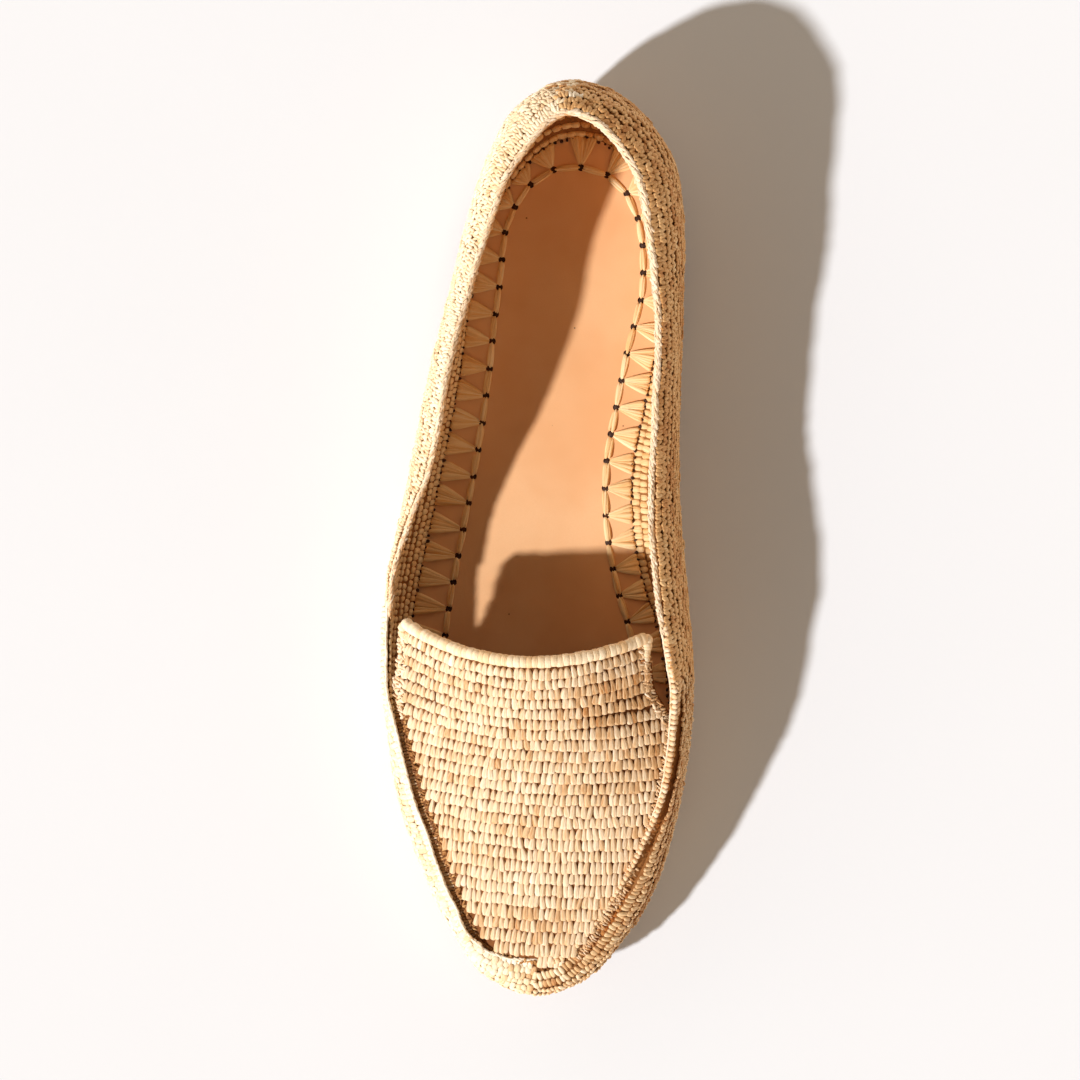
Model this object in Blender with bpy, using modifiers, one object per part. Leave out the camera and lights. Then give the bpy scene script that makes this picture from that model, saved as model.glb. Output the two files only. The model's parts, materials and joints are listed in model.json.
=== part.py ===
"""A woven loafer for the right foot: a hollow woven upper with a domed apron, on a leather sole.

Metres, +Z up. The toe points to -Y, the medial side (the big toe's side) is +X, and the origin is
at the middle of the footprint, on the floor. The tables are in millimetres: "at" is measured
forward from the back of the heel, and the widths are measured from the shoe's long axis.
"""

import math
from collections import namedtuple

import bmesh
import bpy
import numpy as np
from mathutils import Vector

MM = 0.001
SHOE_LENGTH = 268 * MM
WALL = 2.4 * MM  # the woven wall of the upper
GAP = 0.3 * MM  # left between pieces that touch
ROLL_GAP = 0.55 * MM  # a little more where a round roll lies along a faceted edge
THROAT_GAP = 0.8 * MM  # the roll at the throat clears the apron's slanting back edge

OUTSOLE_THICK = 3.5 * MM
OUTSOLE_MARGIN = 0.8 * MM  # the outsole reaches this far past the foot of the wall
OUTSOLE_EDGE = 0.9 * MM  # its lower edge is eased by this much
INSOLE_THICK = 2.6 * MM
INSOLE_EDGE = 0.3 * MM
END_ROUNDING = 8 * MM  # a plan grows by its full margin where it is at least this wide
LIFT_HEIGHT = 6.0 * MM
LIFT_TAPER = 1.2 * MM  # the heel lift is this much smaller at the floor
HEEL_BREAST = 62 * MM
HEEL_SEAT_END = 74 * MM  # where the heel seat bends down into the arch
FLAT_BACK = 150 * MM  # the forefoot lies flat on the floor between these two
FLAT_FRONT = 206 * MM
TOE_SPRING = 8.0 * MM
SPRING_POWER = 1.7  # how late the toe spring rises
SOLE_STEPS = 40
LIFT_STEPS = 14

RIDGE = 3.8 * MM  # the side wall stands this far above the apron's seam
THROAT_AT = 160.2 * MM  # corners of the throat
LAST_ROW_AT = 249 * MM  # past this row the apron runs straight to its round front seam
TOE_SEAM_AT = 252 * MM  # ends of that round front
THROAT_ROLL = 3.6 * MM
COLLAR_ROLL = 1.7 * MM
COLLAR_END_AT = 152 * MM
ROLL_END_INSET = 0.014  # share of the throat's width left free at each end of its roll

RING_STEPS = 80  # round the shoe
FOOT_STEPS = 4  # from the foot of the wall to its swell
CURL_STEPS = 6  # from the swell to the rim
FOOT_TURN = 0.35  # how high the wall leaves the sole before it stands upright
RIM_TURN = 0.78  # how high it stays upright before it curls in
APRON_ROWS = 18
APRON_COLUMNS = 16
SEAM_STEPS = 60
SEAM_FROM = 0.45 * math.pi  # the apron's seam starts in front of this turn
THROAT_STEPS = 26
NUDGE = 0.01  # a small step of turn or rise, for directions on the wall

# The foot of the wall: its outer edge, where it stands on the outsole.
Foot = namedtuple("Foot", "at lateral medial")
FOOT = [
    Foot(10, 0, 0),
    Foot(14, 12.5, 12.5),
    Foot(22, 20.5, 20.5),
    Foot(35, 28.2, 26.8),
    Foot(60, 34.2, 29.6),
    Foot(85, 36.3, 26.0),
    Foot(115, 40.2, 22.3),
    Foot(140, 43.9, 25.8),
    Foot(165, 46.5, 34.0),
    Foot(190, 45.2, 37.2),
    Foot(215, 39.3, 34.1),
    Foot(235, 31.5, 28.9),
    Foot(250, 23.2, 22.3),
    Foot(260, 14.3, 14.0),
    Foot(265, 0, 0),
]

# The swell: the widest line of the wall.
Swell = namedtuple("Swell", "at lateral medial height")
SWELL = [
    Swell(0, 0, 0, 30),
    Swell(3, 10.6, 12.0, 30),
    Swell(10, 18.6, 21.0, 30),
    Swell(20, 23.8, 28.2, 29.5),
    Swell(40, 30.1, 32.5, 28),
    Swell(65, 35.0, 33.3, 26),
    Swell(95, 40.7, 34.2, 24),
    Swell(120, 44.6, 35.6, 22),
    Swell(145, 48.3, 38.9, 20),
    Swell(170, 49.4, 42.1, 18),
    Swell(195, 47.3, 41.4, 17),
    Swell(220, 40.6, 37.6, 16),
    Swell(240, 31.8, 31.3, 15.5),
    Swell(254, 22.5, 22.8, 15.5),
    Swell(262, 16.0, 15.6, 15.5),
    Swell(268, 0, 0, 15.5),
]

# The rim: the wall's outer top edge, round the collar and on round the apron as a ridge.
Rim = namedtuple("Rim", "at lateral medial lateral_height medial_height")
RIM = [
    Rim(10.0, 0, 0, 54.5, 54.5),
    Rim(14, 7.8, 10.5, 54.3, 54.3),
    Rim(20, 12.4, 16.6, 53.4, 53.4),
    Rim(30, 18.7, 21.8, 51.6, 51.6),
    Rim(45, 24.1, 25.1, 48.4, 48.6),
    Rim(65, 29.2, 28.3, 45.6, 45.4),
    Rim(90, 33.7, 28.8, 45.9, 42.6),
    Rim(115, 38.2, 29.3, 39.6, 41.4),
    Rim(130, 43.6, 30.4, 35.0, 41.2),
    Rim(142, 46.7, 32.0, 31.8, 41.4),
    Rim(160, 48.4, 35.3, 28.9, 41.4),
    Rim(178, 47.9, 38.3, 28.4, 38.0),
    Rim(200, 41.8, 36.9, 27.8, 36.0),
    Rim(220, 34.4, 30.3, 26.5, 31.5),
    Rim(240, 25.8, 20.4, 24.8, 27.0),
    Rim(252, 17.8, 12.4, 23.8, 24.6),
    Rim(259.2, 0, 0, 23, 23),
]

# The apron's rows: how far each arches above its ends, and bows forward in the middle.
Row = namedtuple("Row", "at crown bow")
APRON = [
    Row(160.2, 16.2, 8.5),
    Row(180, 14.4, 6.5),
    Row(205, 10.0, 4.0),
    Row(230, 5.6, 2.6),
    Row(249, 2.2, 6.0),
]

# Near the throat the apron's edges stand free of the wall: how far in and up they are at the
# throat, and between which places each of the two dies out.
FreeEdge = namedtuple("FreeEdge", "inset inset_from inset_to lift lift_from lift_to")
FREE_EDGES = {
    "lateral": FreeEdge(4.1, 168, 186, 8.0, 155, 190),
    "medial": FreeEdge(6.6, 172, 186, 1.5, 160.2, 178),
}

AXIS_X = (max(row.lateral for row in SWELL) - max(row.medial for row in SWELL)) / 2 * MM
HEEL_Y = SHOE_LENGTH / 2


def through(places, values, at):
    """The value at a place on a smooth curve through the given ones."""
    places = np.array(places, float)
    values = np.array(values, float)
    slopes = np.gradient(values, places)
    at = min(max(at, places[0]), places[-1])
    i = int(min(max(np.searchsorted(places, at) - 1, 0), len(places) - 2))
    span = places[i + 1] - places[i]
    t = (at - places[i]) / span
    start = values[i] * (1 + 2 * t) * (1 - t) ** 2 + slopes[i] * span * t * (1 - t) ** 2
    end = values[i + 1] * t * t * (3 - 2 * t) + slopes[i + 1] * span * t * t * (t - 1)
    return float(start + end)


def column(table, name, at):
    """One column of a table, in metres, at a distance in metres from the back of the heel."""
    return through([row.at for row in table], [getattr(row, name) for row in table], at / MM) * MM


def half_width(table, side, at):
    """Squares are interpolated, so that a width runs out in a round end."""
    squares = [getattr(row, side) ** 2 for row in table]
    return math.sqrt(max(through([row.at for row in table], squares, at / MM), 0)) * MM


def sole_bottom(at):
    """Height of the outsole's underside: heel seat, arch, flat forefoot, toe spring."""
    seat = LIFT_HEIGHT + GAP
    if at <= HEEL_SEAT_END:
        return seat
    if at < FLAT_BACK:
        fall = (at - HEEL_SEAT_END) / (FLAT_BACK - HEEL_SEAT_END)
        return seat * (1 + math.cos(math.pi * fall)) / 2
    if at <= FLAT_FRONT:
        return 0.0
    return TOE_SPRING * ((at - FLAT_FRONT) / (SHOE_LENGTH - FLAT_FRONT)) ** SPRING_POWER


def foot_height(at):
    return sole_bottom(at) + OUTSOLE_THICK + GAP


def ring_point(table, turn):
    """(x, y, at, side) on a closed outline: turn 0 is the heel, pi the toe, lateral side first."""
    reach = (1 - math.cos(turn)) / 2
    at = (table[0].at + reach * (table[-1].at - table[0].at)) * MM
    side = "lateral" if turn <= math.pi else "medial"
    half = half_width(table, side, at)
    x = AXIS_X + (-half if side == "lateral" else half)
    return x, HEEL_Y - at, at, side


def bend(start, corner, end, t):
    """A point on the curve that leaves start towards corner and reaches end from it."""
    return start * (1 - t) ** 2 + corner * 2 * t * (1 - t) + end * t * t


def wall_point(turn, rise):
    """The wall's outer face: rise runs from 0 at its foot through 1 at the swell to 2 at the rim."""
    x, y, at, side = ring_point(SWELL, turn)
    swell = Vector((x, y, column(SWELL, "height", at)))
    if rise <= 1:
        x, y, at, side = ring_point(FOOT, turn)
        foot = Vector((x, y, foot_height(at)))
        corner = Vector((swell.x, swell.y, foot.z + (swell.z - foot.z) * FOOT_TURN))
        return bend(foot, corner, swell, rise)
    x, y, at, side = ring_point(RIM, turn)
    rim = Vector((x, y, column(RIM, side + "_height", at)))
    corner = Vector((swell.x, swell.y, swell.z + (rim.z - swell.z) * RIM_TURN))
    return bend(swell, corner, rim, rise - 1)


def wall_normal(turn, rise):
    """Pointing out of the shoe."""
    along = wall_point(turn + NUDGE, rise) - wall_point(turn - NUDGE, rise)
    up = wall_point(turn, rise) - wall_point(turn, rise - NUDGE)
    return along.cross(up).normalized()


def rise_below_rim(turn, depth):
    """The rise at which the wall is this far below its rim, measured along the wall."""
    rise = 2.0
    gone = 0.0
    while gone < depth:
        gone += (wall_point(turn, rise) - wall_point(turn, rise - NUDGE)).length
        rise -= NUDGE
    return rise


def new_object(name, mesh, home):
    obj = bpy.data.objects.new(name, mesh)
    home.objects.link(obj)
    return obj


def finish_mesh(name, bm, home):
    bmesh.ops.recalc_face_normals(bm, faces=bm.faces)
    mesh = bpy.data.meshes.new(name)
    bm.to_mesh(mesh)
    bm.free()
    mesh.shade_smooth()
    mesh.set_sharp_from_angle(angle=math.radians(40))
    return new_object(name, mesh, home)


def loft(rows, closed):
    """A bmesh with quads between rows of points; closed joins each row's end to its start."""
    bm = bmesh.new()
    made = [[bm.verts.new(point) for point in row] for row in rows]
    for lower, upper in zip(made, made[1:]):
        count = len(lower)
        for i in range(count if closed else count - 1):
            j = (i + 1) % count
            bm.faces.new((lower[i], lower[j], upper[j], upper[i]))
    return bm, made


def solid_loft(name, sections, home):
    """A closed body through sections, with its two ends filled."""
    bm, made = loft(sections, closed=True)
    bm.faces.new(made[0])
    bm.faces.new(made[-1])
    return finish_mesh(name, bm, home)


def even_stations(start, end, count):
    """Places along the shoe, closer together near both ends, where the outline turns."""
    return [start + (end - start) * (1 - math.cos(math.pi * (i + 0.5) / count)) / 2 for i in range(count)]


def plan_width(side, at, grow):
    """Half width of the sole's plan at a place: the foot outline, grown or shrunk evenly."""
    first, last = FOOT[0].at * MM - grow, FOOT[-1].at * MM + grow
    share = (at - first) / (last - first)
    inner = (FOOT[0].at + share * (FOOT[-1].at - FOOT[0].at)) * MM
    width = half_width(FOOT, side, inner)
    return width + grow * min(width / END_ROUNDING, 1)


def plate_section(at, bottom, top, grow, ease):
    """A section across a plate, its lower edges eased."""
    left = AXIS_X - plan_width("lateral", at, grow)
    right = AXIS_X + plan_width("medial", at, grow)
    ease = min(ease, (right - left) / 5)
    y = HEEL_Y - at
    lift = min(ease, (top - bottom) / 3)
    return [
        (left + ease, y, bottom),
        (right - ease, y, bottom),
        (right, y, bottom + lift),
        (right, y, top),
        (left, y, top),
        (left, y, bottom + lift),
    ]


def make_outsole(home):
    start = FOOT[0].at * MM - OUTSOLE_MARGIN
    end = FOOT[-1].at * MM + OUTSOLE_MARGIN
    sections = []
    for at in even_stations(start, end, SOLE_STEPS):
        bottom = sole_bottom(at)
        top = bottom + OUTSOLE_THICK
        sections.append(plate_section(at, bottom, top, OUTSOLE_MARGIN, OUTSOLE_EDGE))
    return solid_loft("outsole", sections, home)


def make_insole(home):
    shrink = -(WALL + GAP)
    start = FOOT[0].at * MM - shrink
    end = FOOT[-1].at * MM + shrink
    sections = []
    for at in even_stations(start, end, SOLE_STEPS):
        bottom = foot_height(at)
        sections.append(plate_section(at, bottom, bottom + INSOLE_THICK, shrink, INSOLE_EDGE))
    return solid_loft("insole", sections, home)


def make_heel_lift(home):
    start = FOOT[0].at * MM - OUTSOLE_MARGIN
    sections = []
    for i in range(LIFT_STEPS):
        reach = 1 - math.cos(math.pi / 2 * (i + 0.5) / (LIFT_STEPS - 0.5))
        at = start + (HEEL_BREAST - start) * reach
        left = AXIS_X - plan_width("lateral", at, OUTSOLE_MARGIN)
        right = AXIS_X + plan_width("medial", at, OUTSOLE_MARGIN)
        taper = min(LIFT_TAPER, (right - left) / 4)
        y = HEEL_Y - at
        sections.append([
            (left + taper, y, 0),
            (right - taper, y, 0),
            (right, y, LIFT_HEIGHT),
            (left, y, LIFT_HEIGHT),
        ])
    return solid_loft("heel_lift", sections, home)


def solidify(obj, thickness):
    shell = obj.modifiers.new("wall", "SOLIDIFY")
    shell.thickness = thickness
    shell.offset = -1
    shell.use_even_offset = True


def make_side_wall(home):
    rises = [i / FOOT_STEPS for i in range(FOOT_STEPS)]
    rises += [1 + i / CURL_STEPS for i in range(CURL_STEPS + 1)]
    turns = [2 * math.pi * i / RING_STEPS for i in range(RING_STEPS)]
    rows = [[wall_point(turn, rise) for turn in turns] for rise in rises]
    bm, _ = loft(rows, closed=True)
    obj = finish_mesh("upper", bm, home)
    solidify(obj, WALL)
    return obj


def rim_turn(at):
    """The turn at which the lateral rim passes a place along the shoe."""
    reach = (at / MM - RIM[0].at) / (RIM[-1].at - RIM[0].at)
    return math.acos(1 - 2 * reach)


def seam_point(turn):
    """The apron's seam, in the middle of the wall's thickness, a ridge's height below the rim."""
    rise = rise_below_rim(turn, RIDGE)
    return wall_point(turn, rise) - wall_normal(turn, rise) * WALL / 2


def dying_out(start, end, at):
    """1 up to a place in millimetres, then smoothly down to 0 at the next."""
    t = min(max((end - at / MM) / (end - start), 0), 1)
    return t * t * (3 - 2 * t)


def edge_by_place(side):
    """The apron's edge on one side, as a function from place along the shoe to point."""
    turns = np.linspace(SEAM_FROM, math.pi, SEAM_STEPS)
    if side == "medial":
        turns = 2 * math.pi - turns
    points = [seam_point(float(turn)) for turn in turns]
    places = [HEEL_Y - point.y for point in points]
    free = FREE_EDGES[side]
    inward = 1 if side == "lateral" else -1

    def edge(at):
        point = Vector([float(np.interp(at, places, [p[i] for p in points])) for i in range(3)])
        point.x += inward * free.inset * MM * dying_out(free.inset_from, free.inset_to, at)
        point.z += free.lift * MM * dying_out(free.lift_from, free.lift_to, at)
        return point

    return edge


def apron_point(ends, at, across):
    """A point of the apron's top face: across runs from 0 at the lateral seam to 1."""
    point = ends["lateral"](at).lerp(ends["medial"](at), across)
    arch = 1 - (2 * across - 1) ** 2
    point.z += arch * column(APRON, "crown", at)
    point.y -= arch * column(APRON, "bow", at)
    return point


def make_apron(home, ends):
    rows = []
    columns = [j / APRON_COLUMNS for j in range(APRON_COLUMNS + 1)]
    for i in range(APRON_ROWS + 1):
        at = THROAT_AT + (LAST_ROW_AT - THROAT_AT) * i / APRON_ROWS
        rows.append([apron_point(ends, at, across) for across in columns])
    first = rim_turn(TOE_SEAM_AT)
    rows.append([seam_point(first + (2 * math.pi - 2 * first) * across) for across in columns])
    bm, _ = loft(rows, closed=False)
    obj = finish_mesh("apron_plug", bm, home)
    if obj.data.polygons[0].normal.z < 0:
        obj.data.flip_normals()
    solidify(obj, WALL)
    obj.hide_render = True
    obj.display_type = "WIRE"
    return obj


def make_roll(name, points, diameter, home):
    data = bpy.data.curves.new(name, "CURVE")
    data.dimensions = "3D"
    data.bevel_depth = diameter / 2
    data.bevel_resolution = 2
    data.use_fill_caps = True
    spline = data.splines.new("POLY")
    spline.points.add(len(points) - 1)
    for slot, point in zip(spline.points, points):
        slot.co = (*point, 1)
    return new_object(name, data, home)


def make_throat_roll(home, ends):
    points = []
    back = THROAT_ROLL / 2 + THROAT_GAP
    for i in range(THROAT_STEPS + 1):
        across = ROLL_END_INSET + (1 - 2 * ROLL_END_INSET) * i / THROAT_STEPS
        point = apron_point(ends, THROAT_AT, across)
        points.append(point + Vector((0, back, -WALL / 4)))
    return make_roll("throat_roll", points, THROAT_ROLL, home)


def make_collar_roll(home):
    step = 2 * math.pi / RING_STEPS
    last = int(rim_turn(COLLAR_END_AT) / step)
    points = []
    for i in range(-last, last + 1):
        turn = i * step % (2 * math.pi)
        top = wall_point(turn, 2)
        up = (top - wall_point(turn, 2 - 1 / CURL_STEPS)).normalized()
        middle = top - wall_normal(turn, 2 - 0.5 / CURL_STEPS) * WALL / 2
        points.append(middle + up * (COLLAR_ROLL / 2 + ROLL_GAP))
    return make_roll("collar_roll", points, COLLAR_ROLL, home)


def material(name, colour, roughness):
    made = bpy.data.materials.new(name)
    made.use_nodes = True
    shader = made.node_tree.nodes["Principled BSDF"]
    shader.inputs["Base Color"].default_value = (*colour, 1)
    shader.inputs["Roughness"].default_value = roughness
    shader.inputs["Metallic"].default_value = 0
    return made


def collection(name):
    made = bpy.data.collections.new(name)
    bpy.context.scene.collection.children.link(made)
    return made


def main():
    for obj in list(bpy.data.objects):
        bpy.data.objects.remove(obj)
    shoe = collection("woven_loafer")
    cutters = collection("cutters")

    raffia = material("raffia", (0.72, 0.52, 0.29), 0.65)
    wrapped = material("wrapped_raffia", (0.78, 0.58, 0.34), 0.6)
    insole_leather = material("insole_leather", (0.62, 0.30, 0.14), 0.55)
    sole_leather = material("sole_leather", (0.42, 0.23, 0.11), 0.6)

    outsole = make_outsole(shoe)
    outsole.data.materials.append(sole_leather)
    heel_lift = make_heel_lift(shoe)
    heel_lift.data.materials.append(sole_leather)
    insole = make_insole(shoe)
    insole.data.materials.append(insole_leather)

    ends = {side: edge_by_place(side) for side in ("lateral", "medial")}
    upper = make_side_wall(shoe)
    upper.data.materials.append(raffia)
    apron = make_apron(cutters, ends)
    join = upper.modifiers.new("apron", "BOOLEAN")
    join.operation = "UNION"
    join.object = apron

    throat_roll = make_throat_roll(shoe, ends)
    throat_roll.data.materials.append(wrapped)
    collar_roll = make_collar_roll(shoe)
    collar_roll.data.materials.append(wrapped)


main()
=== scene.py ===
# A woven raffia loafer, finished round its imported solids: stitched walls and apron, wrapped
# rolls, a laced insole and a leather sole, standing in a plain studio.
# Shapes are worked out in millimetres and made in metres. The toe points to -Y, the big toe's
# side is +X, "at" is the distance forward from the back of the heel, and "turn" runs round the
# shoe from the heel (0) past the little toe's side to the toe (pi) and back.
import json
import math

import bmesh
import bpy
import numpy as np
from mathutils import Matrix, Vector

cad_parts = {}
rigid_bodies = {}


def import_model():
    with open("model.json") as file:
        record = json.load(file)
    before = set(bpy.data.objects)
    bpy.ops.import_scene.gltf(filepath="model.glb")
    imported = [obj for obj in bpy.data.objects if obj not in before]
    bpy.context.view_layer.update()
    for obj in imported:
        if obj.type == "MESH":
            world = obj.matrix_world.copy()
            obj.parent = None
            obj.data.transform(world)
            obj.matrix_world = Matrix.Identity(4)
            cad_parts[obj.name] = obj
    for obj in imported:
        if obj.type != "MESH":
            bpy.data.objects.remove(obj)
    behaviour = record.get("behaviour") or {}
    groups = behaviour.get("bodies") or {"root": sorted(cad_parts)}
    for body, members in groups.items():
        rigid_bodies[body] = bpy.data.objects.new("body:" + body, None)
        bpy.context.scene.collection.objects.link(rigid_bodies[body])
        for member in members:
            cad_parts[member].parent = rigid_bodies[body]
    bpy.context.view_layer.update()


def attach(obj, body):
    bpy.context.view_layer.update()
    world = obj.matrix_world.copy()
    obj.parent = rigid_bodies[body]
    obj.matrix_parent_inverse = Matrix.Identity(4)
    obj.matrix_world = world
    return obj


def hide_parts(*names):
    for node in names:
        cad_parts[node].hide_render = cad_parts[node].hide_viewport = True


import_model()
mm = 0.001
tau = 2 * math.pi
tilesAcross = 8  # each stitch piece shares one sheet of 8 by 8 tones
mapName = "OFBake"

lastShape = {
    "length": 268.0,
    "wall": 2.4,
    "gap": 0.3,
    "outsole": 3.5,
    "outsoleMargin": 0.8,
    "insole": 2.6,
    "heelLift": 6.0,
    "liftTaper": 1.2,
    "heelBreast": 62.0,
    "heelSeatEnd": 74.0,
    "flatBack": 150.0,
    "flatFront": 206.0,
    "toeSpring": 8.0,
    "springPower": 1.7,
    "footTurn": 0.35,
    "rimTurn": 0.78,
    "endRounding": 8.0,
    "ridge": 3.8,
    "throatAt": 160.2,
    "lastRowAt": 249.0,
    "toeSeamAt": 252.0,
    # at, lateral and medial half width of the foot of the wall
    "foot": [
        (10, 0, 0), (14, 12.5, 12.5), (22, 20.5, 20.5), (35, 28.2, 26.8), (60, 34.2, 29.6),
        (85, 36.3, 26.0), (115, 40.2, 22.3), (140, 43.9, 25.8), (165, 46.5, 34.0),
        (190, 45.2, 37.2), (215, 39.3, 34.1), (235, 31.5, 28.9), (250, 23.2, 22.3),
        (260, 14.3, 14.0), (265, 0, 0),
    ],
    # at, lateral, medial and height of the wall's widest line
    "swell": [
        (0, 0, 0, 30), (3, 10.6, 12.0, 30), (10, 18.6, 21.0, 30), (20, 23.8, 28.2, 29.5),
        (40, 30.1, 32.5, 28), (65, 35.0, 33.3, 26), (95, 40.7, 34.2, 24), (120, 44.6, 35.6, 22),
        (145, 48.3, 38.9, 20), (170, 49.4, 42.1, 18), (195, 47.3, 41.4, 17),
        (220, 40.6, 37.6, 16), (240, 31.8, 31.3, 15.5), (254, 22.5, 22.8, 15.5),
        (262, 16.0, 15.6, 15.5), (268, 0, 0, 15.5),
    ],
    # at, lateral, medial, lateral height and medial height of the wall's top edge
    "rim": [
        (10.0, 0, 0, 54.5, 54.5), (14, 7.8, 10.5, 54.3, 54.3), (20, 12.4, 16.6, 53.4, 53.4),
        (30, 18.7, 21.8, 51.6, 51.6), (45, 24.1, 25.1, 48.4, 48.6), (65, 29.2, 28.3, 45.6, 45.4),
        (90, 33.7, 28.8, 45.9, 42.6), (115, 38.2, 29.3, 39.6, 41.4), (130, 43.6, 30.4, 35.0, 41.2),
        (142, 46.7, 32.0, 31.8, 41.4), (160, 48.4, 35.3, 28.9, 41.4), (178, 47.9, 38.3, 28.4, 38.0),
        (200, 41.8, 36.9, 27.8, 36.0), (220, 34.4, 30.3, 26.5, 31.5), (240, 25.8, 20.4, 24.8, 27.0),
        (252, 17.8, 12.4, 23.8, 24.6), (259.2, 0, 0, 23, 23),
    ],
    # at, crown above its ends and forward bow of the apron
    "apron": [(160.2, 16.2, 8.5), (180, 14.4, 6.5), (205, 10.0, 4.0), (230, 5.6, 2.6), (249, 2.2, 6.0)],
    # how far in and up the apron's free edges are at the throat, and where each dies out:
    # the little toe's side, then the big toe's
    "freeEdges": [((4.1, 168, 186), (8.0, 155, 190)), ((6.6, 172, 186), (1.5, 160.2, 178))],
}
axisX = (max(row[1] for row in lastShape["swell"]) - max(row[2] for row in lastShape["swell"])) / 2
heelY = lastShape["length"] / 2


def through(places, values, at):
    # a smooth curve through the given values, read at one place or many
    places = np.asarray(places, float)
    values = np.asarray(values, float)
    slopes = np.gradient(values, places)
    at = np.clip(at, places[0], places[-1])
    i = np.clip(np.searchsorted(places, at) - 1, 0, len(places) - 2)
    span = places[i + 1] - places[i]
    t = (at - places[i]) / span
    start = (values[i] * (1 + 2 * t) + slopes[i] * span * t) * (1 - t) ** 2
    end = (values[i + 1] * (3 - 2 * t) + slopes[i + 1] * span * (t - 1)) * t * t
    return start + end


def column(table, index, at):
    rows = lastShape[table]
    return through([row[0] for row in rows], [row[index] for row in rows], at)


def halfWidth(table, index, at):
    # squares are interpolated, so a width runs out in a round end
    rows = lastShape[table]
    squares = through([row[0] for row in rows], [row[index] ** 2 for row in rows], at)
    return np.sqrt(np.maximum(squares, 0))


def listed(rows, at, index=1):
    # a column of a table of places and values, read in straight steps
    return np.interp(at, [row[0] for row in rows], [row[index] for row in rows])


def smooth(low, high, value):
    t = np.clip((np.asarray(value, float) - low) / (high - low), 0, 1)
    return t * t * (3 - 2 * t)


def soleBottom(at):
    # the outsole's underside: flat on the heel lift, down to the floor, then up with the toe
    seat = lastShape["heelLift"] + lastShape["gap"]
    back, front = lastShape["heelSeatEnd"], lastShape["flatBack"]
    arch = seat * (1 + np.cos(math.pi * np.clip((at - back) / (front - back), 0, 1))) / 2
    reach = (np.maximum(at, lastShape["flatFront"]) - lastShape["flatFront"]) / (
        lastShape["length"] - lastShape["flatFront"]
    )
    return arch + lastShape["toeSpring"] * reach ** lastShape["springPower"]


def footHeight(at):
    return soleBottom(at) + lastShape["outsole"] + lastShape["gap"]


def insoleTop(at):
    return footHeight(at) + lastShape["insole"]


def ringPoint(table, turn):
    # x and y of a table's outline at a turn, the place forward and whether it is on the little
    # toe's side
    rows = lastShape[table]
    turn = np.mod(turn, tau)
    at = rows[0][0] + (1 - np.cos(turn)) / 2 * (rows[-1][0] - rows[0][0])
    isLateral = turn <= math.pi
    x = np.where(isLateral, -halfWidth(table, 1, at), halfWidth(table, 2, at))
    return axisX + x, heelY - at, at, isLateral


def bend(start, corner, end, t):
    t = t[..., None]
    return start * (1 - t) ** 2 + corner * 2 * t * (1 - t) + end * t * t


def wallPoint(turn, rise):
    # rise runs from 0 at the foot of the wall through 1 at its widest line to 2 at the rim
    turn, rise = np.broadcast_arrays(np.asarray(turn, float), np.asarray(rise, float))
    x, y, at, _ = ringPoint("swell", turn)
    swell = np.stack([x, y, column("swell", 3, at)], -1)
    x, y, at, _ = ringPoint("foot", turn)
    foot = np.stack([x, y, footHeight(at)], -1)
    x, y, at, isLateral = ringPoint("rim", turn)
    rim = np.stack([x, y, np.where(isLateral, column("rim", 3, at), column("rim", 4, at))], -1)
    low = swell.copy()
    low[..., 2] = foot[..., 2] + (swell[..., 2] - foot[..., 2]) * lastShape["footTurn"]
    high = swell.copy()
    high[..., 2] = swell[..., 2] + (rim[..., 2] - swell[..., 2]) * lastShape["rimTurn"]
    below = bend(foot, low, swell, rise)
    above = bend(swell, high, rim, rise - 1)
    return np.where((rise <= 1)[..., None], below, above)


def unit(vectors):
    return vectors / np.maximum(np.linalg.norm(vectors, axis=-1, keepdims=True), 1e-9)


def ringed(values):
    # a ring's values with its first one again at the end
    return np.concatenate([values, values[:1]])


def lengthAlong(points):
    # how far along its line each point lies
    return np.concatenate([[0], np.cumsum(np.linalg.norm(np.diff(points, axis=0), axis=1))])


def pointsAt(spots, length, points):
    # the points of a line at the given distances along it
    return np.stack([np.interp(spots, length, values) for values in points.T], -1)


def flattened(vectors):
    # the same ways, made level
    return unit(vectors * np.array([1.0, 1.0, 0.0]))


def wallFrame(turn, rise):
    # place on the wall's outer face, the way along it, the way up it and the way out of it
    nudge = 0.01
    place = wallPoint(turn, rise)
    along = unit(wallPoint(turn + nudge, rise) - wallPoint(turn - nudge, rise))
    up = unit(wallPoint(turn, rise) - wallPoint(turn, rise - nudge))
    outward = unit(np.cross(along, up))
    return place, along, np.cross(outward, along), outward


def evenTurns(count):
    # turns at equal steps round the widest line
    fine = np.linspace(0, tau, 4001)
    length = lengthAlong(wallPoint(fine, np.ones(len(fine))))
    return np.interp(np.linspace(0, length[-1], count, endpoint=False), length, fine)


wallTurns = evenTurns(720)
closedTurns = np.append(wallTurns, tau)
fallingRises = np.linspace(2, 0, 161)
wallGrid = wallPoint(wallTurns[:, None], fallingRises[None, :])
wallDepths = np.array([lengthAlong(line) for line in wallGrid])  # below the rim, at each turn and rise


def riseAtDepth(depth):
    # the rise at which each of the wall's turns is this far below the rim
    depth = np.broadcast_to(depth, len(wallTurns))
    return np.array([np.interp(d, row, fallingRises) for d, row in zip(depth, wallDepths)])


def atTurns(turns, values):
    # the values of the wall's even turns, read at any turns
    return np.interp(turns, closedTurns, ringed(values))


def colour(red, green, blue):
    # screen values from 0 to 255 as the linear colour that a shader takes
    return tuple(((c / 255 + 0.055) / 1.055) ** 2.4 for c in (red, green, blue)) + (1,)


def report(stage):
    print("loafer:", stage, flush=True)


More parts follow.
